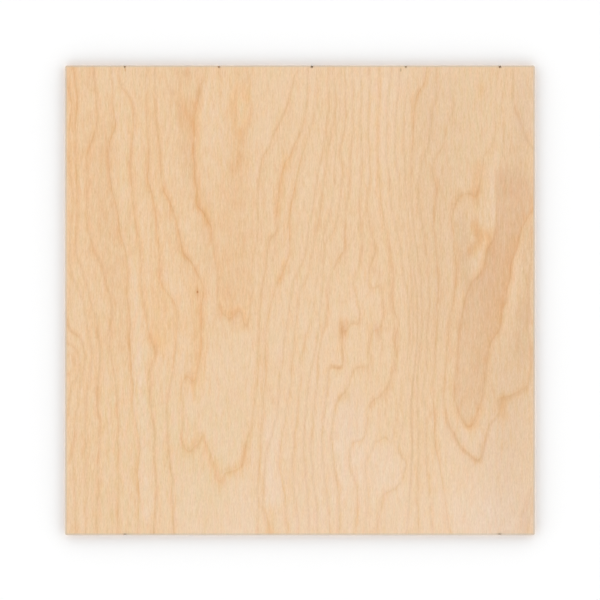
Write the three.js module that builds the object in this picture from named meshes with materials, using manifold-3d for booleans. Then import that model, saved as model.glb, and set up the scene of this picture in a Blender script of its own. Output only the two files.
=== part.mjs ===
// A square sheet of thin three-ply birch plywood, cut to size and lying flat.
// Millimetres, +Z up. The origin is the middle of the underside, and the face
// grain runs along Y, so the sheet's head is its +Y edge and its foot is -Y.
// The veneers are glued into one board for good, so the sheet is one solid.

import * as THREE from 'three';
import { mergeVertices } from 'three/addons/utils/BufferGeometryUtils.js';
import Module from 'manifold-3d';

// The board
const SHEET_WIDTH = 300; // X, across the face grain
const SHEET_LENGTH = 300; // Y, along the face grain
const SHEET_THICKNESS = 3; // Z, three veneers pressed together
const CORNER_RADIUS = 1.4; // the corners' small round, seen from above
const ARRIS_RADIUS = 0.4; // the sanded edges of both faces

// The nicks that the cutting bed's slats left in the head edge, at an even pitch
const NICK_PITCH = 59.8; // from one slat to the next
const FIRST_NICK = 38.2; // from the left edge to the first nick
const NICK_MOUTH = 1.0; // width where a nick opens on the edge
const NICK_TIP_RADIUS = 0.25; // the round at its inner end
const HEAD_NICK_DEPTH = 1.6;

// The first and the last slat also marked the foot edge, less deeply
const FOOT_NICK_DEPTH = 0.8;

// How finely the rounds are stepped
const CORNER_STEPS = 8; // for each corner's quarter turn
const ARRIS_STEPS = 4;
const TIP_STEPS = 8; // for a nick's half turn
const STEPS_PER_SEGMENT = 2; // three.js gives an arc two steps for each curve segment
const CUTTER_OVERRUN = 1; // how far a cutter runs past what it cuts

// Looks
const FACE_COLOUR = 0xeac7a2; // pale, warm birch
const FACE_ROUGHNESS = 0.62;

const wasm = await Module();
wasm.setup();

/** Turns a closed BufferGeometry into a manifold solid. */
function toSolid(geometry) {
  const bare = geometry.clone();
  bare.deleteAttribute('normal');
  bare.deleteAttribute('uv');
  const merged = mergeVertices(bare);
  return new wasm.Manifold(new wasm.Mesh({
    numProp: 3,
    vertProperties: new Float32Array(merged.attributes.position.array),
    triVerts: new Uint32Array(merged.index.array),
  }));
}

/** Turns a manifold solid back into a BufferGeometry with flat facets. */
function toGeometry(solid) {
  const mesh = solid.getMesh();
  const indexed = new THREE.BufferGeometry();
  indexed.setAttribute('position', new THREE.BufferAttribute(mesh.vertProperties, mesh.numProp));
  indexed.setIndex(new THREE.BufferAttribute(mesh.triVerts, 1));
  const geometry = indexed.toNonIndexed();
  geometry.computeVertexNormals();
  return geometry;
}

/** The sheet's outline from above: a rectangle with rounded corners, centred. */
function sheetOutline() {
  const halfWidth = SHEET_WIDTH / 2;
  const halfLength = SHEET_LENGTH / 2;
  const cornerX = halfWidth - CORNER_RADIUS;
  const cornerY = halfLength - CORNER_RADIUS;
  const quarter = Math.PI / 2;
  const outline = new THREE.Shape();
  outline.moveTo(halfWidth, -cornerY);
  outline.absarc(cornerX, cornerY, CORNER_RADIUS, 0, quarter);
  outline.absarc(-cornerX, cornerY, CORNER_RADIUS, quarter, 2 * quarter);
  outline.absarc(-cornerX, -cornerY, CORNER_RADIUS, 2 * quarter, 3 * quarter);
  outline.absarc(cornerX, -cornerY, CORNER_RADIUS, 3 * quarter, 4 * quarter);
  return outline;
}

/** The board before its nicks: the outline drawn up, with sanded arrises. */
function board() {
  // A sanded arris can't be rounder than the corner or than half the thickness.
  const arris = Math.min(ARRIS_RADIUS, 0.9 * CORNER_RADIUS, 0.45 * SHEET_THICKNESS);
  const geometry = new THREE.ExtrudeGeometry(sheetOutline(), {
    depth: SHEET_THICKNESS - 2 * arris,
    curveSegments: CORNER_STEPS / STEPS_PER_SEGMENT,
    bevelEnabled: true,
    bevelThickness: arris,
    bevelSize: arris,
    bevelOffset: -arris,
    bevelSegments: ARRIS_STEPS,
  });
  geometry.translate(0, 0, arris);
  return geometry;
}

/**
 * The cutter of one nick: a notch that opens on the line y = 0 and narrows
 * towards a round tip at y = -depth, tall enough to pass through the sheet.
 */
function nickCutter(depth) {
  const halfMouth = NICK_MOUTH / 2;
  const notch = new THREE.Shape();
  notch.moveTo(halfMouth, CUTTER_OVERRUN);
  notch.lineTo(-halfMouth, CUTTER_OVERRUN);
  notch.lineTo(-halfMouth, 0);
  notch.absarc(0, NICK_TIP_RADIUS - depth, NICK_TIP_RADIUS, Math.PI, 2 * Math.PI);
  notch.lineTo(halfMouth, 0);
  const cutter = new THREE.ExtrudeGeometry(notch, {
    depth: SHEET_THICKNESS + 2 * CUTTER_OVERRUN,
    curveSegments: TIP_STEPS / STEPS_PER_SEGMENT,
    bevelEnabled: false,
  });
  cutter.translate(0, 0, -CUTTER_OVERRUN);
  return cutter;
}

/** Where the slats crossed the sheet, as places along X, clear of its corners. */
function slatPlaces() {
  const cornerRoom = CORNER_RADIUS + NICK_MOUTH;
  const pitches = Math.floor((SHEET_WIDTH - FIRST_NICK - cornerRoom) / NICK_PITCH);
  const firstPlace = FIRST_NICK - SHEET_WIDTH / 2;
  return Array.from({ length: pitches + 1 }, (_, slat) => firstPlace + slat * NICK_PITCH);
}

/** Every nick's cutter, in its place on the head or the foot edge. */
function nickCutters() {
  const places = slatPlaces();
  const headNicks = places.map((x) => {
    const cutter = nickCutter(HEAD_NICK_DEPTH);
    return cutter.translate(x, SHEET_LENGTH / 2, 0);
  });
  const outerPlaces = [places.at(0), places.at(-1)];
  const footNicks = outerPlaces.map((x) => {
    const cutter = nickCutter(FOOT_NICK_DEPTH);
    return cutter.rotateZ(Math.PI).translate(x, -SHEET_LENGTH / 2, 0);
  });
  return [...headNicks, ...footNicks];
}

/** The finished sheet: the board with every nick cut out of its edges. */
function plywoodSheet() {
  let solid = toSolid(board());
  for (const cutter of nickCutters()) {
    solid = solid.subtract(toSolid(cutter));
  }
  const birch = new THREE.MeshStandardMaterial({
    color: FACE_COLOUR,
    roughness: FACE_ROUGHNESS,
    metalness: 0,
  });
  const sheet = new THREE.Mesh(toGeometry(solid), birch);
  sheet.name = 'plywood_sheet';
  return sheet;
}

const part = new THREE.Group();
part.add(plywoodSheet());

export default part;
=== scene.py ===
"""Square of 3 mm birch plywood, lying face up: sanded faces, sawn ply edges and slat nicks.

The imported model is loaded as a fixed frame. One piece, `birch_sheet`, stands for the CAD sheet
and carries the wood: the growth rings of its face veneer are drawn as contour lines, a smooth
field of ring numbers is fitted to them, and the veneer's material shades the wood by that field.
All lengths are in metres unless a name says otherwise.
"""
from __future__ import annotations

import logging
import math
from collections.abc import Callable, Iterator, Sequence
from contextlib import contextmanager
from dataclasses import dataclass, field
from enum import Enum, IntEnum

import bmesh
import bpy
import numpy as np
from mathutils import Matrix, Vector

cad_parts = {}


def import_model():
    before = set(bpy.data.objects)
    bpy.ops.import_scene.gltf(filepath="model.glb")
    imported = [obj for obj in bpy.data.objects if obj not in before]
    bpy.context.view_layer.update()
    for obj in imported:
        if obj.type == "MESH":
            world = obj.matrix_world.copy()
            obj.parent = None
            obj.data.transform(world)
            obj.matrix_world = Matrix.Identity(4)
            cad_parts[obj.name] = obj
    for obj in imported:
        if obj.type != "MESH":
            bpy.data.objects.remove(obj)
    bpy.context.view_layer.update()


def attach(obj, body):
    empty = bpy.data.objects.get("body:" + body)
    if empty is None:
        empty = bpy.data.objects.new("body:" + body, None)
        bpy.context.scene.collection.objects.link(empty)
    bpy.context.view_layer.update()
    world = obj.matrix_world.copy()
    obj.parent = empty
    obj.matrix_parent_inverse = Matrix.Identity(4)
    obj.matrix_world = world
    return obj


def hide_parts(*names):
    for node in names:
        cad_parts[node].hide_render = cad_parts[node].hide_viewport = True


LOG = logging.getLogger("birch_sheet")

CAD_NODE = "plywood_sheet"
CAD_BODY = "root"

MM = 0.001
TOUCHING = 1e-6
Point = tuple[float, float]
Point3 = tuple[float, float, float]
Colour = tuple[float, float, float, float]

# The veneer drawing: units right and down, with the sheet's left and top edges and its width.
DRAWING_LEFT = 65.15
DRAWING_TOP = 65.3
DRAWING_SPAN = 470.0


@dataclass(frozen=True)
class Look:
    """How a stretch of growth line looks.

    Args:
        bold: how dark the line is, one for a common line.
        flank: how dark the wood is that leads up to it, one for a dark flank.
        warmth: how orange it is, nought for grey-brown.
    """

    bold: float
    flank: float
    warmth: float


FAINT = Look(0.45, 0.3, 0.3)
FINE = Look(1.0, 0.3, 0.2)
PLAIN = Look(0.9, 0.7, 0.5)
WARM = Look(1.0, 0.7, 0.9)
BROAD = Look(0.7, 1.4, 0.5)
BROAD_WARM = Look(0.9, 1.4, 0.9)
STRONG = Look(1.4, 0.6, 0.5)
BOLD_WARM = Look(1.2, 1.0, 1.0)
DARK = Look(1.9, 0.1, 0.0)


@dataclass(frozen=True)
class GrowthLine:
    """One drawn growth line, the crisp edge of a ring's latewood.

    Args:
        name: where the line runs on the face.
        ring: ring number, which rises by one from each line to the next.
        looks: how it looks at even steps from its head to its foot.
        points: places along the line, in drawing units.
    """

    name: str
    ring: int
    looks: tuple[Look, ...]
    points: tuple[Point, ...]


@dataclass(frozen=True)
class Stroke:
    """A soft stroke of tint over the wood.

    Args:
        points: places along the stroke, in drawing units; one point makes a spot.
        half_width: distance to the stroke's side, in drawing units.
        depth: how strong the tint is in the stroke, below zero to take it away.
        stretch: how many times longer the soft end is than the soft side.
        rings: lowest and highest ring number that the stroke is kept to.
        crisp: how crisp its side is, one for a stroke that fades evenly.
    """

    points: tuple[Point, ...]
    half_width: float
    depth: float
    stretch: float = 1.5
    rings: tuple[float, float] = (-99.0, 99.0)
    crisp: float = 1.0


class Tint(Enum):
    """What a stroke does to the wood."""

    STAIN = "stain"
    AMBER = "amber"
    OLIVE = "olive"
    MAUVE = "mauve"
    DUSK = "dusk"


@dataclass(frozen=True)
class HoldPoint:
    """A place between growth lines where the ring number is known."""

    place: Point
    ring: float


GROWTH_LINES: tuple[GrowthLine, ...] = (
    GrowthLine("left_edge", 3, (BOLD_WARM, WARM, FINE, PLAIN, PLAIN), (
        (67.5, 81.5), (69.8, 93.7), (72.5, 103.7), (71, 117), (70, 130), (69.3, 150), (69.5, 168),
        (71, 181.5), (72.5, 191.5), (71.2, 212.6), (70.3, 234), (69.8, 247), (70.1, 265),
        (72.3, 278.5), (75.9, 284), (79.2, 293), (82.6, 300.7), (84.2, 310.7), (88.3, 330.7),
        (91.4, 348.4), (92, 356.2), (90.3, 371.8), (88.3, 384.3), (86.1, 402), (85.3, 421),
        (85.3, 431), (86.2, 440), (85.8, 455), (86, 480), (86.8, 493), (86, 507), (85.7, 532),
    )),
    GrowthLine("left_second", 4, (BOLD_WARM, BOLD_WARM, FINE, STRONG, PLAIN), (
        (73.5, 67), (75.7, 80.3), (77.6, 97), (77.6, 108), (75.9, 125.9), (76.4, 132.5),
        (75.7, 147), (75.9, 158), (77, 170), (77, 182.5), (77.6, 199), (77.4, 220), (76.2, 232),
        (75.9, 244), (76.4, 255), (79.2, 260.7), (84.8, 278.4), (89.8, 298.4), (92.6, 307.3),
        (97.6, 322.9), (97.2, 331.8), (99.2, 341.8), (99.8, 360), (98.5, 378.5), (97.6, 390),
        (97.6, 411), (99.8, 421), (99.2, 437.7), (99.3, 456.6), (97.6, 467), (99, 484),
        (97.5, 507), (96.8, 521), (97, 532),
    )),
    GrowthLine("left_third", 5, (STRONG, BOLD_WARM, FINE, PLAIN, WARM), (
        (93.9, 67), (94.2, 82.5), (96.4, 97), (97.6, 117), (97, 123.7), (95.3, 132.5),
        (91.4, 143.7), (87.5, 154.8), (87, 168.7), (87.5, 189.2), (86.5, 208), (87.4, 219),
        (88.3, 229.6), (91.4, 239.6), (93.7, 248.4), (97.6, 257.3), (102, 266.2), (105.9, 284),
        (109, 292.9), (111.4, 310.7), (109.8, 327.3), (109.5, 338), (110.3, 349.6), (112.6, 359.6),
        (115.2, 378.5), (116.4, 393.2), (118.1, 412), (119, 431), (118.1, 440), (119.2, 448.8),
        (118.1, 465), (119.2, 480), (118.4, 497), (118.1, 532),
    )),
    GrowthLine("left_fourth", 6, (PLAIN, BROAD, BROAD_WARM, BROAD, BROAD_WARM), (
        (111.4, 67), (112, 81.4), (113, 100), (114.2, 111.4), (116.4, 123), (114.8, 130.3),
        (110.6, 141.4), (109, 153), (109.3, 163), (110.6, 177), (112.8, 191.4), (116.4, 203.7),
        (119.2, 219), (120.7, 232.9), (125.9, 249.6), (127.9, 266), (128.3, 278.4), (127.6, 294),
        (130.3, 314), (130.9, 323), (130.3, 340), (131.6, 362), (132.6, 378.5), (134.2, 386.6),
        (132.9, 400), (133.9, 412), (137.6, 428.8), (140, 444), (139, 463), (138.1, 475.4),
        (139.4, 490), (139.4, 508), (137.9, 532),
    )),
    GrowthLine("left_fifth", 7, (PLAIN, BOLD_WARM, WARM, STRONG, STRONG), (
        (119.2, 67), (119.8, 83.7), (121.4, 87), (124.8, 89.8), (131.4, 100.3), (134.2, 114),
        (133.8, 130), (132, 148), (131.3, 160), (130.3, 170.3), (132, 184.8), (132.9, 198),
        (135, 217), (138.7, 236.2), (141.2, 255), (141.7, 266), (141.2, 281), (143.4, 300.7),
        (147, 319.6), (148.7, 329.6), (152.3, 342.9), (155.9, 348.4), (155.7, 353), (153.1, 361.8),
        (149.8, 372), (149.5, 380), (150.3, 386.6), (149.8, 395.4), (152, 415.4), (154.6, 435.4),
        (153.9, 455.4), (156.2, 485.4), (156, 505), (154, 524), (154, 532),
    )),
    GrowthLine("left_sixth", 8, (PLAIN, BROAD_WARM, WARM, STRONG, STRONG), (
        (147, 67), (146, 90), (147.2, 118), (148.1, 137), (149.8, 150), (149, 167), (148.1, 178),
        (150.9, 188), (154.2, 200.3), (157, 218), (157.6, 232.9), (159.3, 243), (160, 266),
        (161.2, 280.7), (163.7, 287.3), (167.6, 292.9), (174.8, 301.8), (177.2, 312),
        (177.9, 319.6), (177, 338), (175, 358.4), (172, 376), (169, 390), (166.8, 402),
        (166.8, 415.4), (168.3, 446.6), (170.7, 465.4), (172.5, 482), (172, 493), (173.2, 507),
        (173.3, 532),
    )),
    GrowthLine("cup", 9,
               (FINE, BROAD_WARM, BROAD_WARM, BROAD_WARM, PLAIN, WARM, PLAIN, BROAD_WARM, FINE), (
        (154.8, 67), (155, 84.8), (155.8, 106), (156.8, 121.4), (160.3, 145.9), (160.7, 160),
        (162, 177), (164.8, 191.4), (170.3, 201.4), (175.3, 214.8), (178.7, 229.6), (182.6, 247.3),
        (184.2, 254), (188.1, 257.9), (191.4, 260.7), (197, 271.8), (203.1, 285.1), (204.2, 294),
        (202, 306), (202.2, 330), (201.7, 349.6), (199.2, 365), (196.4, 378), (195, 381.5),
        (191.5, 381.5), (187, 377.5), (184, 381), (182, 391), (183.1, 412), (183.5, 427),
        (182.6, 440), (184.2, 445.4), (185.9, 450), (188.7, 451), (192, 447.7), (197, 444.3),
        (200.3, 440), (202.6, 435), (204.8, 440), (211.4, 454.3), (215.9, 468.8), (217.6, 476.6),
        (220.3, 482.5), (222.5, 477), (225, 472.5), (234, 470), (238.4, 467.7), (242.3, 463.2),
        (243.5, 455), (246.2, 442), (248.4, 433.8), (251.8, 428.8), (254, 411), (255.1, 393.2),
        (257.3, 378), (258.2, 350), (259, 330), (260.1, 305), (261.8, 288.4), (264.6, 271.8),
        (268.4, 245), (270.7, 238.4), (274, 234), (277, 228.4), (276.6, 218), (277.3, 206),
        (280.1, 180.3), (283.4, 167), (286, 160.5), (289.5, 157.5), (294, 144.8), (300.7, 131.4),
        (304.6, 117), (306.8, 100.3), (308.2, 82), (308.4, 67),
    )),
    GrowthLine("cup_heart", 10,
               (PLAIN, BROAD_WARM, BROAD_WARM, WARM, WARM, PLAIN, PLAIN, STRONG, STRONG), (
        (207, 67), (206.4, 75.9), (203.7, 82.6), (200.3, 87), (200.3, 93.7), (197, 108),
        (194.8, 122.6), (195.3, 137), (193.7, 151.4), (194.8, 166), (195.9, 181.4), (198.1, 187),
        (197, 201.4), (198.7, 207), (203.7, 211.4), (208.1, 221), (212, 226.2), (212, 236.2),
        (214.6, 254), (217.6, 271.8), (218.7, 285), (218.3, 296), (219.3, 304.6), (222, 311),
        (225.5, 314.5), (228, 317.8), (231.2, 317.5), (234.4, 314.4), (239.5, 308.6), (240.8, 312),
        (243.4, 317), (247.2, 324.3), (248.7, 318), (249.9, 307), (252.3, 292), (253, 272),
        (255.7, 248.4), (258.2, 229.6), (257.9, 199), (259.6, 174.8), (262, 158), (264, 153.7),
        (268.4, 149.2), (270.7, 143.7), (272.9, 136), (280.1, 121.4), (285.7, 109.2),
        (290.1, 93.7), (295.1, 75.9), (299, 67),
    )),
    GrowthLine("right_of_cup", 8, (FAINT, BROAD_WARM, WARM, PLAIN, PLAIN), (
        (316.2, 67), (316.8, 95), (315.5, 107), (311.8, 121.4), (308.4, 136), (302.9, 151.4),
        (298.4, 167), (295.1, 184.8), (290.7, 204.8), (288.8, 221.5), (289.6, 244), (289, 254),
        (282.9, 270.7), (276.8, 285), (272.3, 298.4), (268.4, 314), (266.2, 329.6), (265.1, 355),
        (265.7, 377), (263.5, 393), (263.6, 412), (261.6, 431), (260.4, 450), (258.8, 468.8),
        (258.2, 490), (258.7, 508.8), (257.9, 532),
    )),
    GrowthLine("right_of_cup_second", 7, (PLAIN, FINE, FINE, FINE, STRONG), (
        (329, 67), (329, 105), (327.3, 121.4), (324.6, 139.2), (322.7, 151), (319, 170.3),
        (315.7, 188), (312.9, 208), (309.8, 223), (307.3, 240.7), (304.6, 257.3), (298.4, 271.8),
        (293.4, 284), (290.9, 299.6), (286.8, 324), (284.6, 340.7), (282.9, 360.7), (279.8, 378.5),
        (279.3, 397.7), (277.3, 415.4), (272.9, 432), (267.9, 450), (265.4, 467.7), (264.6, 490),
        (263.1, 504.3),
    )),
    GrowthLine("middle_first", 6, (PLAIN, PLAIN, PLAIN, BROAD, WARM), (
        (333.4, 67), (334.9, 86), (336, 100), (334, 121.4), (330.7, 137), (327.3, 153.7),
        (326.8, 164), (323.4, 184.8), (321.2, 203.7), (318.2, 221), (314.6, 241.8), (311.8, 259.6),
        (307.9, 275), (305.7, 281.8), (302.3, 286.2), (300.1, 291.8), (298.4, 306), (295.4, 327),
        (292.9, 351.8), (290.9, 370.7), (291.5, 379), (289, 394.3), (285.1, 420), (282, 436.6),
        (279, 461), (281.2, 478.8), (284.6, 496.6), (286.2, 514.3), (288.7, 532),
    )),
    GrowthLine("middle_second", 5, (FAINT, FINE, FAINT, PLAIN, PLAIN), (
        (341, 67), (340.6, 110), (337.5, 130), (335, 170), (334, 192.6), (330.1, 214.8),
        (322.9, 238.4), (320.1, 255), (318.2, 271.8), (315.4, 289.6), (313.8, 306), (310.4, 321.8),
        (305.7, 337.3), (302.3, 351.8), (300, 365), (300.8, 379), (299, 395.4), (297.9, 412),
        (295.1, 428.8), (294.3, 450), (292.7, 464), (294, 480), (295.7, 499), (299, 530),
    )),
    GrowthLine("middle_third", 4, (FINE, PLAIN, FINE, FINE, FINE), (
        (345, 67), (346.4, 90), (345.7, 115), (343.8, 132.6), (341.2, 148), (342.3, 168),
        (341.2, 186), (339, 212.6), (337.9, 219.2), (332.9, 231.8), (325.7, 243), (324.6, 253),
        (323, 273), (321.2, 300.7), (319.6, 316), (318, 338), (314, 357), (309.8, 378.5),
        (307.3, 401), (304.8, 433), (304.3, 444), (305.1, 465), (307.2, 485), (309.8, 531),
    )),
    GrowthLine("middle_fourth", 3, (PLAIN, PLAIN, BROAD, STRONG, FINE, FINE), (
        (352.3, 67), (353.3, 90), (352.9, 131), (350.7, 159), (348.7, 190), (346.8, 207),
        (345.1, 225), (344.6, 244), (343.4, 251.8), (340.1, 255), (335.1, 265), (329.6, 280.7),
        (328.5, 303), (325.7, 323), (322.3, 337.3), (319, 355), (317.9, 380), (315.1, 404),
        (312.7, 430), (311.4, 448.8), (312.7, 466.6), (314, 484), (316.8, 502), (318.2, 532),
    )),
    GrowthLine("hooked", 2, (FINE, FINE, PLAIN, STRONG, STRONG, FINE, PLAIN), (
        (360.7, 67), (362, 99), (360.7, 119), (362.2, 160), (361.2, 179), (359.6, 198),
        (360.7, 233), (361.8, 244), (359.6, 264), (354, 279.6), (354.6, 287.3), (357.3, 301.8),
        (359.8, 311), (359.6, 318.4), (357.3, 326), (354, 322), (350.7, 323), (345.7, 330.7),
        (342, 322), (341.8, 331), (342.5, 350), (342.9, 360), (341.8, 366.8), (334, 366.8),
        (329, 371.8), (328.2, 384), (326.2, 401), (323.1, 427.7), (322.2, 442), (323.4, 465),
        (326.2, 488.8), (328.4, 506.6), (329.6, 531),
    )),
    GrowthLine("hooked_second", 1,
               (STRONG, PLAIN, PLAIN, STRONG, WARM, PLAIN, STRONG, STRONG, STRONG), (
        (369.5, 67), (369.8, 91), (368.4, 130), (369.8, 172), (367.3, 199), (368.4, 216),
        (371.2, 229.6), (374.6, 245), (375, 253), (370.5, 265), (369, 280.7), (371.8, 287.3),
        (375.1, 289), (380, 287), (382, 291), (382.7, 304), (383.4, 311.8), (380.8, 326),
        (376, 330), (371.8, 332), (370.1, 340.7), (368.5, 357), (369.5, 363), (365, 367),
        (358.7, 366.5), (353.7, 371), (350.5, 380), (347.3, 388.8), (340.1, 397), (337.3, 402),
        (334, 417.7), (331.8, 436), (332.3, 451), (335.1, 468.8), (338.1, 486.6), (339.2, 504),
        (339.6, 531),
    )),
    GrowthLine("bold", 0, (BOLD_WARM, BOLD_WARM, WARM, BROAD_WARM, BROAD, PLAIN, STRONG, WARM), (
        (380.2, 67), (380, 95), (378.3, 130), (378.3, 161), (379.5, 190), (381.6, 208),
        (384.3, 226), (387.1, 234), (389.9, 250.7), (392.3, 268.4), (394.3, 276.2), (392.3, 293),
        (393, 308.4), (398.2, 323), (394.3, 340), (396.6, 354), (393.5, 367), (391.1, 378),
        (389.9, 383), (386, 388.8), (378.8, 397), (371.8, 401), (369.3, 408.8), (366.8, 425.4),
        (363.4, 438.8), (354, 442), (351.2, 445.4), (350.1, 461), (351.2, 468.8), (356, 484.3),
        (357.6, 499), (357, 518), (355.7, 530),
    )),
    GrowthLine("shoulder", -1, (FINE, FINE, FINE, FINE, FAINT, PLAIN, PLAIN), (
        (391.6, 67), (389.9, 87), (388, 103.7), (387.1, 140), (387.1, 157), (389.7, 175),
        (391, 200), (394.3, 217), (400, 245), (402.7, 262), (404.3, 278.4), (408.6, 298.4),
        (409.3, 320), (409, 340), (406.5, 365), (402, 390), (398.2, 412), (395, 424),
        (393.2, 435.4), (391.6, 441), (388.8, 438.8), (385.4, 436), (383.2, 436.6), (379.9, 441),
        (376.2, 442), (371.8, 452), (366.8, 461), (365.7, 472), (367.3, 491), (368.2, 500),
        (366.2, 521), (365.7, 531),
    )),
    GrowthLine("shoulder_second", -2, (FINE, FINE, FAINT, FINE, FAINT, FINE, PLAIN), (
        (400.4, 67), (399.3, 87), (396.3, 113.7), (395.4, 146), (396.6, 163.7), (399.3, 180),
        (399.7, 197), (402.3, 215), (404.9, 232), (407.9, 249.6), (411.6, 276), (413, 300),
        (413.8, 327), (412.7, 349.6), (409, 378), (407, 401), (404.9, 417), (402.1, 434.3),
        (399, 446), (401, 456), (405.4, 459), (406, 464.3), (402.7, 477.7), (397.1, 486.6),
        (387.7, 492), (384.3, 494.3), (382.1, 500), (382.7, 506.6), (378.8, 518.8), (377.2, 530),
    )),
    GrowthLine("straight", -3, (FAINT, FINE, FAINT, DARK, DARK, FINE), (
        (409.5, 67), (407.1, 92.6), (404.3, 109), (403.8, 130), (405.2, 167), (406.3, 194),
        (408.6, 217), (409.9, 233), (412.3, 249.6), (415.2, 276), (417.7, 300.7), (417.7, 323),
        (418.2, 331.8), (416.8, 352), (413.8, 378.4), (412, 400), (411.3, 414), (412.3, 433),
        (412.9, 445), (411.9, 468.8), (410.4, 491), (407.4, 531),
    )),
    GrowthLine("straight_second", -4, (BROAD_WARM, PLAIN, FINE, FINE, FINE, PLAIN), (
        (426.6, 67), (425.4, 77), (423.8, 83.7), (417.7, 93.7), (414.3, 107), (413, 126),
        (412.3, 155), (411.3, 182), (413, 215), (416, 242), (418.8, 258.4), (421.6, 284),
        (422.2, 315), (421, 345), (418.2, 374), (417.7, 398), (419, 443), (418.8, 469),
        (417.7, 495), (418.2, 531),
    )),
    GrowthLine("straight_third", -5, (PLAIN, FINE, PLAIN, FINE, FINE, PLAIN), (
        (436.8, 67), (436.5, 90), (435.4, 104.8), (432.1, 109), (431, 126), (431.2, 132.6),
        (427.9, 147), (424.9, 157), (419, 180), (418.2, 192), (419.9, 211), (424.3, 238.4),
        (426, 253), (428.8, 272), (429.2, 307), (427.5, 332), (427.5, 354), (424.1, 386.6),
        (423.8, 395.4), (426, 413), (426.3, 442), (427.9, 478.8), (429.9, 496.6), (432.9, 531),
    )),
    GrowthLine("straight_fourth", -6, (FAINT, PLAIN, BROAD, BROAD, BROAD, BROAD_WARM), (
        (451, 67), (451, 88), (453, 107), (453.2, 112.6), (449.9, 117), (446, 128), (443, 143.7),
        (439.3, 152), (433.8, 161.4), (432.7, 175), (435.8, 189), (433.2, 215), (434.9, 240.7),
        (437.4, 275), (437.9, 285), (437.4, 303), (436, 308.4), (437.7, 314), (436, 328.4),
        (434.8, 352), (434.3, 374), (433.2, 392), (434.1, 423), (435.2, 446.6), (438.8, 462),
        (441, 475.4), (444.9, 499), (446, 512), (449.9, 531),
    )),
    GrowthLine("lower_corner", -6, (FINE, FINE), (
        (533, 490), (530.4, 496.6), (525.4, 507.7), (522.1, 520), (523.2, 532),
    )),
    GrowthLine("tongue_bay", -7,
               (FAINT, FAINT, PLAIN, BROAD, WARM, PLAIN, STRONG, STRONG, PLAIN, FINE, FINE), (
        (497, 67), (496, 105), (495.4, 130), (493.8, 140), (491, 147), (486.6, 151.4),
        (483.2, 157), (482.7, 166), (480, 182), (476, 196), (471, 193), (462.1, 194.3),
        (458.8, 197), (452.1, 212.6), (451.6, 222), (453.8, 238.4), (453.2, 248.4), (456, 263),
        (455.4, 282), (453.2, 299.6), (450.1, 319.6), (447.9, 344), (446, 364), (443.4, 393),
        (444.9, 403), (446.8, 417.7), (448.2, 424.3), (454.3, 434.3), (459.9, 445.4), (465.4, 451),
        (475.4, 460), (478.2, 461), (481, 457.7), (484.3, 445.4), (489.9, 425.4), (495, 419),
        (499, 413), (499, 401), (501, 398), (507, 397.8), (514.5, 394.6), (520, 391.6),
        (524.8, 389), (528.5, 384.5), (530, 377), (531, 368), (531.6, 352), (529.9, 343),
        (527.5, 330), (528.6, 308), (528.6, 292), (529.4, 274), (531, 263), (531.5, 246),
        (531.4, 232),
    )),
    GrowthLine("tongue", -8, (FAINT, FAINT, FAINT, WARM, PLAIN, WARM, WARM, WARM, WARM, WARM), (
        (506, 67), (504, 87), (501, 104), (502, 117), (503, 134), (502.5, 151), (499, 166),
        (495.5, 177), (496, 200), (496, 221), (493, 238), (486, 251), (485, 261), (482, 270),
        (476.6, 277.3), (471, 283), (465.4, 297), (462, 314), (459, 328), (458, 345), (456, 370),
        (454, 388), (454.9, 401), (458.8, 413), (464.3, 424.3), (469.3, 427.7), (473.2, 424.3),
        (478.2, 412), (482.7, 400), (484.7, 386.6), (486.6, 368.4), (489.3, 352), (491, 344),
        (495.4, 336), (500.4, 329.6), (502.7, 316), (503.8, 307), (508.2, 299.6), (506.6, 292),
        (511, 278), (511.6, 265), (516, 253), (518.8, 244), (522.1, 229.6), (525.4, 223),
        (533, 210),
    )),
    GrowthLine("upper_corner", -9, (FINE,), (
        (514, 67), (513, 92), (513.8, 106), (517.7, 112.6), (519.9, 119), (526.6, 137), (533, 148),
    )),
    GrowthLine("eye_rim", 2, (STRONG, PLAIN, PLAIN), (
        (67.6, 324), (69.8, 329.6), (73.7, 333.4), (79.2, 336.2), (82, 341.8), (83.7, 348.4),
        (84.8, 356.2), (84.2, 365), (83.1, 373), (80.3, 386.6), (78.1, 393), (78, 405),
        (75.9, 417.7), (75.7, 426.6), (73.7, 444), (72.3, 451), (74.2, 470), (75.3, 491),
        (75.8, 510), (76.4, 532),
    )),
    GrowthLine("eye_second", 1, (PLAIN,), (
        (70.3, 345), (75.9, 349.6), (78.7, 355), (79.8, 361.8), (78.1, 375), (73.1, 383.2),
        (70.9, 390), (69.3, 403), (68.2, 412),
    )),
    GrowthLine("eye_heart", 0, (PLAIN, WARM), (
        (71.4, 354), (73.7, 359.6), (74.2, 366.2), (73.1, 369.6),
    )),
)

HOLD_POINTS: tuple[HoldPoint, ...] = (
    HoldPoint((225, 150), 10.45), HoldPoint((225, 200), 10.5), HoldPoint((230, 280), 10.4),
    HoldPoint((250, 90), 10.5), HoldPoint((222, 400), 9.5), HoldPoint((222, 430), 9.4),
    HoldPoint((475, 370), -8.5), HoldPoint((470, 410), -8.4), HoldPoint((500, 240), -8.5),
    HoldPoint((515, 180), -8.5), HoldPoint((480, 490), -6.4), HoldPoint((515, 450), -6.4),
    HoldPoint((480, 525), -6.4), HoldPoint((515, 320), -7.5), HoldPoint((70, 362), -0.4),
    HoldPoint((469, 110), -6.5), HoldPoint((475, 150), -6.5), HoldPoint((530, 90), -9.4),
    HoldPoint((534, 310), -6.8),
)

# Ring numbers that a stroke may be kept to.
TONGUE = (-99.0, -8.0)
CUP_HEART = (10.0, 99.0)

# How strong a stroke is.
SLIGHT = 0.1
CLEAR = 0.18
DEEP = 0.34
PALER = -0.1
PALEST = -0.2
# Strength of the brown round a nick: scorch, partly painted shade of the nick.
SCORCHED_AND_SHADED = 0.5

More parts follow.
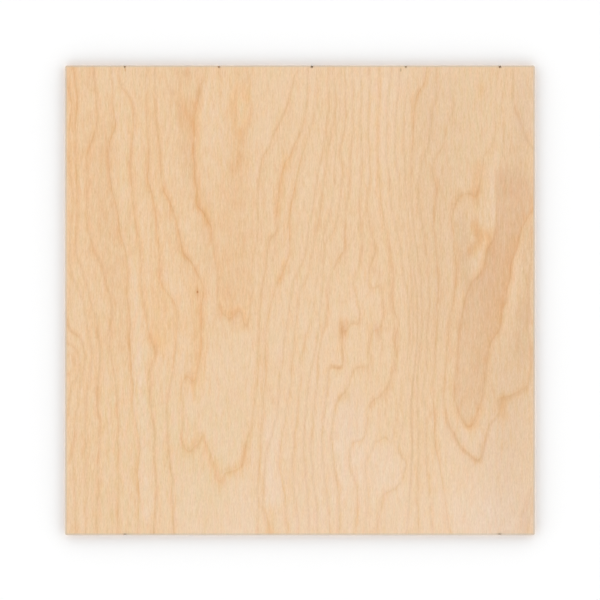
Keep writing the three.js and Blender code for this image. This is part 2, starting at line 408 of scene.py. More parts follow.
STAINS: tuple[Stroke, ...] = (
    # Broad darker wood.
    Stroke(((110, 150), (114, 330)), 28.0, SLIGHT),
    Stroke(((236, 190), (236, 305)), 20.0, SLIGHT, rings=CUP_HEART),
    Stroke(((100, 170), (112, 320)), 14.0, SLIGHT, rings=(5.0, 6.0)),
    Stroke(((182, 85), (187, 125)), 12.0, SLIGHT),
    Stroke(((240, 75), (239, 165)), 10.0, SLIGHT),
    Stroke(((190, 150), (203, 215), (214, 265), (230, 310)), 10.0, SLIGHT),
    Stroke(((165, 220), (192, 275), (197, 370)), 9.0, SLIGHT),
    Stroke(((282, 155), (273, 235), (264, 290)), 9.0, SLIGHT),
    Stroke(((130, 158), (131, 182)), 3.5, SLIGHT),
    Stroke(((147, 155), (148, 190)), 4.0, SLIGHT),
    Stroke(((166, 187), (173, 210)), 3.0, SLIGHT),
    Stroke(((508, 190), (490, 290), (470, 400)), 22.0, SLIGHT, rings=TONGUE),
    # Spots and short streaks of the left half.
    Stroke(((178, 72), (188, 73)), 3.0, CLEAR),
    Stroke(((122, 87), (128, 96)), 2.5, SLIGHT),
    Stroke(((170, 91), (178, 94)), 3.0, CLEAR),
    Stroke(((178, 102), (180, 124)), 2.8, CLEAR),
    Stroke(((185, 108), (189, 124)), 6.0, CLEAR),
    Stroke(((200, 88), (198, 101)), 2.6, CLEAR),
    Stroke(((179, 142), (180, 151)), 3.5, SLIGHT),
    Stroke(((197, 140), (198, 195)), 3.6, SLIGHT),
    Stroke(((221, 72), (221, 97)), 3.0, SLIGHT),
    Stroke(((235, 90), (234, 115), (237, 128), (242, 132)), 4.0, SLIGHT),
    Stroke(((248, 80), (250, 112), (246, 128), (242, 132)), 4.0, SLIGHT),
    Stroke(((243, 136), (241, 154)), 3.0, SLIGHT),
    Stroke(((240, 155), (237, 169)), 4.0, CLEAR),
    Stroke(((199, 203), (205, 214), (210, 223)), 4.2, CLEAR),
    Stroke(((186, 256), (190, 262)), 2.8, CLEAR),
    Stroke(((285, 264), (280, 280)), 4.4, SLIGHT),
    Stroke(((97.5, 327), (97.5, 336)), 1.8, CLEAR),
    Stroke(((97.5, 388), (98, 404)), 1.8, CLEAR),
    Stroke(((448, 425), (463, 449), (477, 461)), 3.0, SLIGHT),
    Stroke(((158, 300), (161, 340)), 11.0, SLIGHT, rings=(7.0, 8.0)),
    Stroke(((152, 338), (157, 352)), 3.2, CLEAR),
    Stroke(((74, 332), (79, 335)), 2.0, CLEAR),
    Stroke(((187, 378), (193, 381)), 3.6, SLIGHT),
    Stroke(((194, 383), (195, 397)), 2.0, CLEAR),
    Stroke(((250, 430), (245, 455)), 4.0, SLIGHT),
    Stroke(((187, 446), (193, 445), (199, 440)), 4.4, SLIGHT),
    Stroke(((213, 461), (221, 480)), 4.2, SLIGHT),
    Stroke(((227, 470), (240, 468)), 3.6, SLIGHT, 1.0),
    Stroke(((245, 446), (243, 463)), 3.0, CLEAR),
    Stroke(((206, 522), (206, 531)), 2.0, CLEAR),
    Stroke(((271, 512), (269, 531)), 4.5, CLEAR),
    # Spots and short streaks of the middle.
    Stroke(((340, 146), (340, 158)), 1.6, CLEAR),
    Stroke(((350.5, 146), (350.5, 158)), 1.6, CLEAR),
    Stroke(((389.5, 177), (389.5, 191)), 1.6, CLEAR),
    Stroke(((322, 194), (322, 207)), 1.8, CLEAR),
    Stroke(((341, 255), (338, 261)), 2.6, CLEAR),
    Stroke(((305, 337), (304, 350)), 2.2, CLEAR),
    Stroke(((342, 324), (342, 332)), 3.2, CLEAR),
    Stroke(((342, 332), (342, 358)), 2.0, CLEAR),
    Stroke(((333, 367), (342, 367)), 2.0, DEEP, 1.0),
    Stroke(((352, 323), (357, 322)), 2.0, CLEAR),
    Stroke(((374, 330), (379, 328)), 2.6, PALEST),
    Stroke(((388, 250), (391, 290), (395, 330), (395, 355), (391, 376), (382, 394)), 3.2, CLEAR),
    Stroke(((353, 372), (359, 366)), 2.8, SLIGHT),
    Stroke(((340, 399), (347, 394)), 3.0, CLEAR),
    Stroke(((372, 405), (376, 401)), 3.0, CLEAR),
    Stroke(((384, 395), (391, 386)), 3.0, SLIGHT),
    Stroke(((377, 436), (383, 436)), 3.4, SLIGHT),
    Stroke(((399, 452), (404, 456)), 3.6, CLEAR),
    Stroke(((386, 492), (396, 488)), 3.0, SLIGHT),
    Stroke(((382, 497), (381, 510)), 2.6, SLIGHT),
    # Spots and short streaks of the right side.
    Stroke(((418, 91), (417, 97)), 2.4, CLEAR),
    Stroke(((481, 91), (481, 96)), 2.4, CLEAR),
    Stroke(((488, 70), (488, 97)), 2.0, SLIGHT),
    Stroke(((478, 170), (476, 196)), 6.0, CLEAR),
    Stroke(((477, 193), (477, 203)), 2.8, CLEAR),
    Stroke(((467, 194), (459, 198), (453, 206)), 4.0, CLEAR),
    Stroke(((475, 225), (478, 234), (479, 242), (471, 251)), 4.8, DEEP),
    Stroke(((479, 235), (490, 237), (488, 248)), 4.6, CLEAR),
    Stroke(((454.5, 258), (455.5, 286)), 2.6, SLIGHT),
    Stroke(((478, 275), (471, 282)), 4.0, SLIGHT),
    Stroke(((518, 334), (518, 348)), 2.4, CLEAR),
    Stroke(((458, 410), (466, 426), (473, 427), (480, 412)), 3.2, CLEAR),
    Stroke(((476, 460), (479, 461)), 2.6, CLEAR),
    Stroke(((502, 401), (503, 413)), 4.6, DEEP),
    Stroke(((509, 398), (526, 389)), 2.4, CLEAR),
    Stroke(((529, 528), (529, 530)), 1.6, CLEAR),
    # Paler wood.
    Stroke(((241, 98), (241, 124)), 3.2, PALEST),
    Stroke(((115, 75), (121, 140), (124, 200)), 6.0, PALER, rings=(6.0, 7.0)),
    Stroke(((134, 265), (137, 320), (142, 410), (146, 515)), 6.0, PALEST, rings=(6.0, 7.0)),
    Stroke(((157, 190), (162, 240)), 2.6, PALER),
    Stroke(((170, 350), (172, 440)), 14.0, PALER),
    Stroke(((230, 370), (230, 450)), 22.0, PALER),
    Stroke(((190, 490), (192, 530)), 22.0, PALER),
    Stroke(((240, 490), (240, 530)), 14.0, PALER),
    Stroke(((276, 430), (272, 490)), 12.0, PALEST),
    Stroke(((300, 350), (335, 470)), 46.0, PALER),
    Stroke(((347, 425), (363, 455), (388, 470)), 24.0, PALEST),
    Stroke(((378, 90), (378, 170)), 18.0, PALER),
    Stroke(((366, 280), (350, 345)), 11.0, PALER),
    Stroke(((300, 74), (450, 74)), 30.0, PALER, 1.0),
    Stroke(((260, 545), (540, 545)), 70.0, PALEST, 1.0),
    Stroke(((475, 450), (500, 530)), 36.0, PALEST),
    Stroke(((455, 515), (520, 515)), 26.0, PALER, 1.0),
    Stroke(((528, 385), (524, 440)), 20.0, PALER),
    Stroke(((525, 75), (525, 120)), 14.0, PALER),
    Stroke(((476, 263), (481, 252), (484, 244)), 2.6, PALEST),
    Stroke(((497, 156), (493, 168), (494, 215)), 2.6, PALEST),
    Stroke(((525, 232), (521, 262), (510, 300)), 4.0, PALER, rings=(-7.95, 99.0)),
)

AMBERS: tuple[Stroke, ...] = (
    Stroke(((90, 130), (110, 420)), 40.0, CLEAR),
    Stroke(((150, 120), (180, 320)), 30.0, CLEAR),
    Stroke(((222, 75), (232, 300)), 26.0, CLEAR, rings=CUP_HEART),
    Stroke(((236, 200), (236, 310)), 20.0, CLEAR, rings=CUP_HEART),
    Stroke(((508, 200), (490, 290), (473, 400)), 24.0, SLIGHT, 1.0, TONGUE),
    Stroke(((182, 95), (189, 124)), 7.0, DEEP),
    Stroke(((241, 90), (240, 165)), 9.0, DEEP),
    Stroke(((234, 92), (233, 116), (240, 133), (247, 116), (248, 90)), 4.0, DEEP),
    Stroke(((203, 210), (209, 223)), 5.0, DEEP),
    Stroke(((197, 290), (200, 380)), 9.0, DEEP),
    Stroke(((197, 105), (198, 200)), 4.0, DEEP),
    Stroke(((286, 158), (278, 210)), 5.0, DEEP),
    Stroke(((283, 264), (280, 280)), 4.5, DEEP),
    Stroke(((152, 338), (163, 345)), 5.0, DEEP),
    Stroke(((71, 80), (71, 260)), 4.0, CLEAR),
    Stroke(((532, 130), (532, 236)), 1.6, DEEP),
    Stroke(((342, 324), (342, 340)), 4.0, DEEP),
    Stroke(((375, 328), (377, 336)), 4.0, DEEP),
    Stroke(((477, 172), (477, 202)), 7.0, DEEP),
    Stroke(((475, 228), (483, 238), (472, 251)), 6.0, DEEP, 1.0),
    Stroke(((487, 240), (486, 262)), 4.0, CLEAR),
    Stroke(((526, 214), (519, 231), (511, 262), (497, 320)), 9.0, CLEAR, 1.0, TONGUE),
    Stroke(((514, 240), (505, 275), (498, 318)), 6.5, DEEP, 1.0, TONGUE),
    Stroke(((503, 401), (504, 414)), 5.0, DEEP),
    Stroke(((271, 512), (269, 531)), 5.0, DEEP),
    Stroke(((194, 380), (195, 398)), 4.0, DEEP),
    Stroke(((186, 446), (197, 441), (203, 436), (214, 462), (220, 479)), 4.4, DEEP),
    Stroke(((222, 475), (240, 468), (246, 440)), 4.0, CLEAR),
    Stroke(((220, 300), (247, 316)), 9.0, CLEAR, rings=CUP_HEART),
    Stroke(((159, 300), (162, 338)), 15.0, DEEP, rings=(7.0, 8.0)),
    Stroke(((481, 86), (481, 96)), 3.4, DEEP),
    Stroke(((482, 236), (488, 238)), 7.0, DEEP),
    Stroke(((468, 428), (482, 412)), 4.0, DEEP),
)

OLIVES: tuple[Stroke, ...] = (
    Stroke(((115, 420), (118, 520)), 32.0, CLEAR),
    Stroke(((165, 420), (200, 490)), 26.0, DEEP),
    Stroke(((225, 425), (225, 455)), 18.0, DEEP),
    Stroke(((241, 104), (241, 124)), 4.0, DEEP),
    Stroke(((470, 90), (472, 165)), 20.0, CLEAR),
    Stroke(((120, 110), (137, 330), (143, 430)), 5.0, CLEAR),
)

MAUVES: tuple[Stroke, ...] = (
    Stroke(((512, 194), (505, 225), (497, 255), (486, 295), (474, 345), (470, 420)), 26.0, DEEP,
           1.0, TONGUE, 3.0),
    Stroke(((478, 350), (468, 440)), 40.0, PALEST, 1.0, TONGUE),
    Stroke(((503, 130), (503, 160), (500, 174)), 4.5, SLIGHT, 1.0, TONGUE),
    Stroke(((341, 325), (343, 333)), 4.0, CLEAR),
    Stroke(((187, 150), (188, 178)), 7.0, SLIGHT),
    Stroke(((430, 112), (429, 139)), 3.0, SLIGHT),
    Stroke(((517, 112), (526, 137)), 4.0, SLIGHT),
    Stroke(((350, 400), (350, 430)), 9.0, SLIGHT),
    Stroke(((448, 425), (463, 449), (477, 461), (484, 445)), 4.2, CLEAR),
    Stroke(((236, 130), (236, 290)), 18.0, SLIGHT, rings=CUP_HEART),
    Stroke(((377, 330), (378, 335)), 3.8, DEEP),
    Stroke(((380, 275), (378, 282)), 4.0, SLIGHT),
)

DUSKS: tuple[Stroke, ...] = (
    Stroke(((470, 110), (480, 380)), 50.0, CLEAR),
    Stroke(((430, 100), (434, 310)), 26.0, CLEAR),
    Stroke(((525, 90), (520, 158)), 13.0, DEEP),
    Stroke(((522, 318), (522, 350)), 9.0, DEEP),
    Stroke(((515, 375), (508, 535)), 30.0, DEEP),
    Stroke(((527, 230), (527, 315)), 8.0, DEEP, 1.2, (-7.9, 99.0)),
    Stroke(((462, 222), (467, 285)), 6.0, DEEP, rings=(-8.0, -7.0)),
    Stroke(((521, 212), (511, 250), (497, 325)), 5.5, CLEAR, 1.0, TONGUE),
)

STROKES = {
    Tint.STAIN: STAINS,
    Tint.AMBER: AMBERS,
    Tint.OLIVE: OLIVES,
    Tint.MAUVE: MAUVES,
    Tint.DUSK: DUSKS,
}


def linear(red: float, green: float, blue: float) -> Colour:
    """Turn a colour as a paint chart gives it, 0 to 255, into the renderer's linear colour.

    Args:
        red: red, 0 to 255.
        green: green, 0 to 255.
        blue: blue, 0 to 255.

    Returns:
        Linear red, green and blue with an alpha of one.
    """
    def channel(value: float) -> float:
        """Undo the display curve of one channel."""
        value /= 255.0
        return value / 12.92 if value <= 0.04045 else ((value + 0.055) / 1.055) ** 2.4

    return (channel(red), channel(green), channel(blue), 1.0)


WOOD = linear(234, 199, 162)


def over_wood(red: float, green: float, blue: float) -> Colour:
    """Turn the colour that plain wood takes under a wash into the wash to multiply it by."""
    return (*(wash / wood for wash, wood in zip(linear(red, green, blue)[:3], WOOD)), 1.0)


# ---------------------------------------------------------------------------------------------
# Shader expressions
# ---------------------------------------------------------------------------------------------

# How far a seed of one moves a pattern along x, y and z, in cells.
SEED_STEPS = (1.0, 3.7, 1.3)


@dataclass(frozen=True)
class Pattern:
    """Noise in cells of a real size.

    Args:
        cell: size of one cell along x, y and z, in metres.
        seed: moves the pattern, so that no two are alike.
        detail: how many finer layers it has.
    """

    cell: Point3
    seed: float
    detail: float = 2.0

    @property
    def shift(self) -> Point3:
        """How far the pattern is moved along x, y and z, in cells."""
        return tuple(step * self.seed for step in SEED_STEPS)


class Socket:
    """A value socket whose arithmetic adds Math nodes to its tree."""

    def __init__(self, shader: Wiring, link: bpy.types.NodeSocket) -> None:
        """Wrap one output socket of a shader's tree."""
        self.shader = shader
        self.link = link

    def _math(self, operation: str, *values: Socket | float) -> Socket:
        """Add one Math node and return its output."""
        return self.shader.add("ShaderNodeMath", {"operation": operation},
                               dict(enumerate(values)))

    def __add__(self, other: Socket | float) -> Socket:
        """Sum of two values."""
        return self._math("ADD", self, other)

    __radd__ = __add__

    def __sub__(self, other: Socket | float) -> Socket:
        """This value less another."""
        return self._math("SUBTRACT", self, other)

    def __rsub__(self, other: float) -> Socket:
        """A number less this value."""
        return self._math("SUBTRACT", other, self)

    def __mul__(self, other: Socket | float) -> Socket:
        """Product of two values."""
        return self._math("MULTIPLY", self, other)

    __rmul__ = __mul__

    def __truediv__(self, other: Socket | float) -> Socket:
        """This value over another."""
        return self._math("DIVIDE", self, other)

    def __neg__(self) -> Socket:
        """This value with its sign turned."""
        return self._math("MULTIPLY", self, -1.0)

    def floor(self) -> Socket:
        """The whole number below this value."""
        return self._math("FLOOR", self)

    def fract(self) -> Socket:
        """What is left above the whole number below."""
        return self._math("FRACT", self)

    def exp(self) -> Socket:
        """The natural exponent of this value."""
        return self._math("EXPONENT", self)

    def at_least(self, low: float) -> Socket:
        """This value, or a floor for it."""
        return self._math("MAXIMUM", self, low)

    def between(self, low: float, high: float) -> Socket:
        """Rise smoothly with this value.

        Args:
            low: the value at which the rise starts; above `high`, it falls instead.
            high: the value at which it ends.

        Returns:
            Nought at `low` and beyond, one at `high` and beyond.
        """
        return self.shader.add(
            "ShaderNodeMapRange",
            {"interpolation_type": "SMOOTHSTEP", "clamp": True},
            {"Value": self, "From Min": low, "From Max": high, "To Min": 0.0, "To Max": 1.0},
        )


# A spot is full inside its heart and gone outside its rim, as shares of its half size.
SPOT_HEART = 0.3
SPOT_RIM = 1.3


class Wiring:
    """A node tree that nodes are added to and joined up in."""

    def __init__(self, tree: bpy.types.NodeTree) -> None:
        """Take up a tree."""
        self.tree = tree

    def add(
        self,
        kind: str,
        settings: dict[str, object] | None = None,
        inputs: dict[str | int, object] | None = None,
        output: int | str = 0,
    ) -> Socket:
        """Add a node of any kind.

        Args:
            kind: the node's type name.
            settings: the node's own settings, set before its sockets.
            inputs: values or sockets for the node's inputs, by name or place.
            output: which output to return.

        Returns:
            The chosen output, wrapped.
        """
        node = self.tree.nodes.new(kind)
        for key, value in (settings or {}).items():
            setattr(node, key, value)
        for key, value in (inputs or {}).items():
            self.join(value, node.inputs[key])
        return Socket(self, node.outputs[output])

    def join(self, value: object, target: bpy.types.NodeSocket) -> None:
        """Feed an input.

        Args:
            value: a socket to link, or the input's own value.
            target: the input.
        """
        if isinstance(value, Socket):
            self.tree.links.new(value.link, target)
        else:
            target.default_value = value

    def attribute(self, name: str) -> Socket:
        """Read a number stored at the piece's vertices."""
        return self.add("ShaderNodeAttribute", {"attribute_name": name}, output="Fac")

    def place(self) -> Socket:
        """Object coordinates, in metres."""
        return self.add("ShaderNodeTexCoord", output="Object")

    def vector(self, operation: str, *values: object, output: int | str = 0) -> Socket:
        """Add one Vector Math node."""
        return self.add("ShaderNodeVectorMath", {"operation": operation},
                        dict(enumerate(values)), output)

    def split(self, vector: Socket) -> tuple[Socket, Socket, Socket]:
        """Take a vector apart into its three numbers."""
        node = self.tree.nodes.new("ShaderNodeSeparateXYZ")
        self.join(vector, node.inputs[0])
        return tuple(Socket(self, out) for out in node.outputs)

    def combine(self, x: object, y: object, z: object) -> Socket:
        """Make a vector from three numbers."""
        return self.add("ShaderNodeCombineXYZ", inputs={0: x, 1: y, 2: z})

    def noise(self, vector: Socket, detail: float = 2.0) -> Socket:
        """Noise of about one unit's size at these coordinates, 0 to 1 with its middle at a half."""
        return self.add("ShaderNodeTexNoise", {"noise_dimensions": "3D"},
                        {"Vector": vector, "Scale": 1.0, "Detail": detail, "Roughness": 0.5})

    def grain(self, place: Socket, pattern: Pattern) -> Socket:
        """Noise of a pattern at coordinates in metres, from -0.5 to 0.5."""
        scaled = self.vector("MULTIPLY", place, tuple(1.0 / size for size in pattern.cell))
        return self.noise(self.vector("ADD", scaled, pattern.shift), pattern.detail) - 0.5

    def spot(self, place: Socket, centre: Point3, half: Point3) -> Socket:
        """A soft spot.

        Args:
            place: coordinates in metres.
            centre: where the spot is, in metres.
            half: its half size along x, y and z, in metres.

        Returns:
            One in the middle, nought outside.
        """
        away = self.vector("SUBTRACT", place, centre)
        scaled = self.vector("MULTIPLY", away, tuple(1.0 / size for size in half))
        reach = self.vector("LENGTH", scaled, output="Value")
        return reach.between(SPOT_RIM, SPOT_HEART)

    def mix(self, factor: object, first: object, second: object,
            blend: str = "MIX") -> Socket:
        """Mix two colours.

        Args:
            factor: how much of the second there is, 0 to 1.
            first: the colour below.
            second: the colour laid over it.
            blend: how it is laid over.

        Returns:
            The mixed colour.
        """
        node = self.tree.nodes.new("ShaderNodeMix")
        node.data_type = "RGBA"
        node.blend_type = blend
        node.clamp_factor = True
        for value, name in ((factor, "Factor_Float"), (first, "A_Color"), (second, "B_Color")):
            target = next(s for s in node.inputs if s.identifier == name)
            self.join(value, target)
        return Socket(self, next(s for s in node.outputs if s.identifier == "Result_Color"))

    def ramp(self, value: Socket, stops: Sequence[tuple[float, Colour]]) -> Socket:
        """Look a value up on a row of colours.

        Args:
            value: the value, 0 to 1.
            stops: where each colour stands, lowest first.

        Returns:
            The colour found.
        """
        node = self.tree.nodes.new("ShaderNodeValToRGB")
        elements = node.color_ramp.elements
        elements[0].position, elements[0].color = stops[0]
        elements[1].position, elements[1].color = stops[-1]
        for position, colour in stops[1:-1]:
            elements.new(position).color = colour
        self.join(value, node.inputs["Fac"])
        return Socket(self, node.outputs["Color"])


class Shader(Wiring):
    """One material's node tree, with a Principled surface at its end."""

    def __init__(self, name: str) -> None:
        """Start a material of this name with an empty Principled surface."""
        self.material = bpy.data.materials.new(name)
        self.material.use_nodes = True
        super().__init__(self.material.node_tree)
        self.surface = self.tree.nodes["Principled BSDF"]

    def bump(self, height: Socket, strength: float, distance: float) -> None:
        """Give the surface a fine relief.

        Args:
            height: the relief's height.
            strength: how much of it shows, 0 to 1.
            distance: depth that a height of one stands for, in metres.
        """
        normal = self.add("ShaderNodeBump", inputs={"Height": height, "Strength": strength,
                                                    "Distance": distance})
        self.join(normal, self.surface.inputs["Normal"])

    def dress(self, **values: object) -> bpy.types.Material:
        """Set the surface's sockets.

        Args:
            values: values or sockets by socket name, with underscores for spaces.

        Returns:
            The finished material.
        """
        for name, value in values.items():
            self.join(value, self.surface.inputs[name.replace("_", " ")])
        return self.material


# ---------------------------------------------------------------------------------------------
# Finishes
# ---------------------------------------------------------------------------------------------

@dataclass(frozen=True)
class Fleck:
    """One small dark mark in the face, placed on the drawing."""

    place: Point
    half: tuple[float, float]
    depth: float


PIN_KNOT = Fleck((197.6, 292.0), (1.2, 1.4), 0.8)
KNOT_FIBRE = Fleck((197.7, 292.0), (0.7, 9.0), 0.35)
NICK_TAIL = Fleck((125.4, 69.6), (0.9, 2.4), 0.6)
OLIVE_STREAK = Fleck((401.0, 70.0), (0.8, 2.2), 0.4)
FLECKS = (PIN_KNOT, KNOT_FIBRE, NICK_TAIL)

FIBRE = Pattern((0.5 * MM, 7 * MM, 8 * MM), 2.1)
PORE = Pattern((0.45 * MM, 1.9 * MM, 4 * MM), 11.9, 1.0)
STREAK = Pattern((1.7 * MM, 28 * MM, 8 * MM), 5.3)
MOTTLE = Pattern((2.2 * MM, 8 * MM, 8 * MM), 6.1, 1.0)
DRIFT = Pattern((14 * MM, 60 * MM, 30 * MM), 8.8, 1.0)
BLUSH = Pattern((2.8 * MM, 13 * MM, 8 * MM), 15.2)


@dataclass(frozen=True)
class FaceVeneer:
    """Sanded rotary-cut birch: pale wood, tan growth lines, fine fibres.

    Widths and shifts are in millimetres across a growth line. A depth is how much darker a
    thing makes the wood, and a wash is how much of its own colour it lays over it.
    """

    honey: Colour = linear(243, 221, 201)
    pale: Colour = linear(238, 206, 168)
    ring: Colour = linear(223, 176, 128)
    stain: Colour = linear(204, 146, 95)
    pith: Colour = linear(140, 96, 60)
    # Brown laid round the nicks, scorch partly painted as the nicks' shade; also the colour of the
    # olive streak.
    nick_shade_and_scorch: Colour = linear(112, 82, 52)
    # Greyer colour laid along the outline: painted edge shade on the arrises, partly handling wear.
    rim_shade_and_wear: Colour = linear(197, 188, 175)
    amber: Colour = over_wood(238, 194, 147)
    peach: Colour = over_wood(238, 193, 149)
    olive: Colour = over_wood(228, 198, 156)
    rose: Colour = over_wood(235, 194, 160)
    mauve: Colour = over_wood(212, 168, 137)
    dusk: Colour = over_wood(216, 179, 143)
    line_width: float = 0.76
    warm_width: float = 0.45
    line_shift: float = 0.26
    halo_width: float = 2.3
    halo_shift: float = 0.6
    soft_width: float = 2.4
    pale_width: float = 3.5
    jitter: float = 0.5
    weakest_line: float = 0.83
    line_swing: float = 0.22
    swing_length: Point = (60 * MM, 22 * MM)
    swing_range: Point = (0.3, 0.7)
    flank_length: float = 45 * MM
    flank_range: Point = (0.2, 0.7)
    line_depth: float = 0.05
    warm_depth: float = 0.06
    soft_depth: float = 0.28
    glow_depth: float = 0.06
    fibre_depth: float = 0.42
    streak_depth: float = 0.34
    mottle_depth: float = 0.35
    drift_depth: float = 0.2
    plain_depth: float = 0.3
    depth_span: float = 0.4
    pale_stop: float = 0.3
    ring_stop: float = 0.6
    stain_stop: float = 0.8
    mottle_amber: float = 0.8
    soft_amber: float = 0.3
    halo_peach: float = 0.1
    warm_peach: float = 0.34
    blush_wash: float = 1.9
    plain_dusk: float = 0.3
    line_dusk: float = 0.32
    warm_dusk: float = 0.13
    fibre_dusk: float = 0.9
    pore_dusk: float = 1.1
    # How much painted edge shade the rim band takes, and how much more in streaks along it.
    rim_shade_depth: float = 0.8
    streak_shade_depth: float = 0.5
    line_seed: float = 7.31
    flank_seed: float = 3.77
    flank_slice: float = 4.0
    pore_relief: float = 0.4
    relief_strength: float = 0.25
    relief_depth: float = 0.03 * MM
    roughness: float = 0.52
    fibre_roughness: float = 0.16
    specular: float = 0.3

    def material(self, sizes: SheetSizes) -> bpy.types.Material:
        """Build the face's material.

        Args:
            sizes: the sheet's sizes, for the marks drawn on it.

        Returns:
            The finished material.
        """
        shader = Shader("birch_face_veneer")
        place = shader.place()
        fibre, pore, streak, mottle, drift, blush = (
            shader.grain(place, pattern) for pattern in (FIBRE, PORE, STREAK, MOTTLE, DRIFT, BLUSH))
        warmth = shader.attribute("warmth")
        line, halo, soft, glow = self.figure(shader, place, fibre, warmth)

        wood = line * (self.line_depth + warmth * self.warm_depth)
        wood = wood + soft * self.soft_depth - glow * self.glow_depth
        wood = wood + shader.attribute(Tint.STAIN.value)
        wood = wood + fibre * self.fibre_depth + streak * self.streak_depth
        wood = wood + mottle * self.mottle_depth + drift * self.drift_depth
        for fleck in FLECKS:
            wood = wood + self.fleck(shader, place, sizes, fleck) * fleck.depth
        colour = shader.ramp(wood * self.depth_span + self.plain_depth, (
            (0.0, self.honey), (self.pale_stop, self.pale), (self.ring_stop, self.ring),
            (self.stain_stop, self.stain), (1.0, self.pith),
        ))
        amber = shader.attribute(Tint.AMBER.value) + mottle * self.mottle_amber
        dusk = shader.attribute(Tint.DUSK.value) + self.plain_dusk
        dusk = dusk + line * (self.line_dusk - warmth * self.warm_dusk)
        washes = (
            (amber + soft * warmth * self.soft_amber, self.amber),
            (halo * (self.halo_peach + warmth * self.warm_peach), self.peach),
            (shader.attribute(Tint.OLIVE.value) + blush * self.blush_wash, self.olive),
            (blush * -self.blush_wash, self.rose),
            (shader.attribute(Tint.MAUVE.value), self.mauve),
            (dusk + fibre * self.fibre_dusk + pore * self.pore_dusk, self.dusk),
        )
        for depth, wash in washes:
            colour = shader.mix(depth, colour, wash, "MULTIPLY")
        # Painted edge shade, partly handling wear: the rim band is greyed and darkened, streaked
        # along the edge.
        painted_rim = shader.attribute("rim") * (self.rim_shade_depth + streak * self.streak_shade_depth)
        colour = shader.mix(painted_rim, colour, self.rim_shade_and_wear)
        # Scorch round the nicks, partly painted shade of the nicks, and the olive streak by one
        # nick.
        for fleck in (*sizes.nick_shade_marks(), OLIVE_STREAK):
            colour = shader.mix(self.fleck(shader, place, sizes, fleck) * fleck.depth, colour,
                                self.nick_shade_and_scorch)
        shader.bump(fibre + pore * self.pore_relief, self.relief_strength, self.relief_depth)
        return shader.dress(Base_Color=colour,
                            Roughness=self.roughness + fibre * self.fibre_roughness,
                            Specular_IOR_Level=self.specular)

    def figure(self, shader: Shader, place: Socket, fibre: Socket,
               warmth: Socket) -> tuple[Socket, Socket, Socket, Socket]:
        """Draw the growth rings by the ring numbers stored at the vertices.

        Args:
            shader: the face's shader.
            place: coordinates in metres.
            fibre: the fibres' noise, which frays the lines.
            warmth: how orange the lines near a place are.

        Returns:
            The growth line, the halo round it, the darker wood that leads up to it and the
            paler wood that follows it, each one at its strongest and nought away from it.
        """
        x, y, _ = shader.split(place)
        ring = shader.attribute("ring")
        gap = shader.attribute("gap")
        fray = fibre * self.jitter
        order = (ring + 0.5).floor()
        away = (ring - order) * gap + fray
        share = ring.fract()
        below = ((1.0 - share) * gap - fray).at_least(0.0)
        above = (share * gap + fray).at_least(0.0)
        across, along = self.swing_length
        swing = shader.noise(shader.combine(order * self.line_seed, y * (1.0 / along),
                                            x * (1.0 / across)))
        strength = self.weakest_line + self.line_swing * swing.between(*self.swing_range)
        strength = strength * shader.attribute("bold")
        patch = shader.noise(
            shader.combine(ring.floor() * self.flank_seed, y * (1.0 / self.flank_length),
                           self.flank_slice), detail=1.0)
        flank = patch.between(*self.flank_range) * shader.attribute("flank")
        reach = (away - self.line_shift) / (self.line_width + warmth * self.warm_width)
        line = (-(reach * reach)).exp() * strength
        reach = (away - self.halo_shift) / self.halo_width
        halo = (-(reach * reach)).exp() * strength
        soft = (-below / self.soft_width).exp() * flank
        glow = (-above / self.pale_width).exp()
        return line, halo, soft, glow

    @staticmethod
    def fleck(shader: Shader, place: Socket, sizes: SheetSizes, fleck: Fleck) -> Socket:
        """Mask a fleck.

        Args:
            shader: the face's shader.
            place: coordinates in metres.
            sizes: the sheet's sizes.
            fleck: the mark.

        Returns:
            One in its middle, nought outside.
        """
        half = (fleck.half[0] * sizes.drawing_unit, fleck.half[1] * sizes.drawing_unit,
                sizes.thickness / 2)
        return shader.spot(place, (*sizes.from_drawing(fleck.place), sizes.thickness), half)


class Grain(Enum):
    """Which way a ply's fibres run, seen at a sawn edge."""

    LONG_X = "long_x"
    LONG_Y = "long_y"
    END = "end"


PLY_GRAIN: dict[Grain, Pattern] = {
    Grain.LONG_X: Pattern((14 * MM, 2 * MM, 0.22 * MM), 4.1),
    Grain.LONG_Y: Pattern((2 * MM, 14 * MM, 0.22 * MM), 4.1),
    Grain.END: Pattern((0.35 * MM, 0.35 * MM, 0.9 * MM), 4.1),
}
SAW_MARK = Pattern((0.5 * MM, 0.5 * MM, 4 * MM), 6.7, 1.0)
EDGE_TONE = Pattern((22 * MM, 22 * MM, 3 * MM), 9.2, 1.0)
DRIED_GLUE = Pattern((3 * MM, 3 * MM, 1 * MM), 3.3)
CHARRING = Pattern((0.5 * MM, 0.5 * MM, 1.2 * MM), 7.7)


@dataclass(frozen=True)
class PlyEdge:
    """One ply seen at the sawn edge."""

    name: str
    grain: Grain
    light: Colour
    dark: Colour
    grain_range: Point = (-0.2, 0.25)
    grain_mix: float = 0.7
    saw_mix: float = 0.5
    tone_mix: float = 0.6
    saw_relief: float = 0.6
    relief_strength: float = 0.35
    relief_depth: float = 0.05 * MM
    roughness: float = 0.66
    grain_roughness: float = 0.2
    specular: float = 0.25

    def material(self) -> bpy.types.Material:
        """Build the ply's material, streaked along its fibres or pored across them.

        Returns:
            The finished material.
        """
        shader = Shader(self.name)
        place = shader.place()
        fine = shader.grain(place, PLY_GRAIN[self.grain])
        saw = shader.grain(place, SAW_MARK)
        tone = shader.grain(place, EDGE_TONE)
        factor = fine.between(*self.grain_range) * self.grain_mix
        factor = factor + saw * self.saw_mix + tone * self.tone_mix
        colour = shader.mix(factor, self.light, self.dark)
        shader.bump(fine + saw * self.saw_relief, self.relief_strength, self.relief_depth)
        return shader.dress(Base_Color=colour,
                            Roughness=self.roughness + fine * self.grain_roughness,
                            Specular_IOR_Level=self.specular)


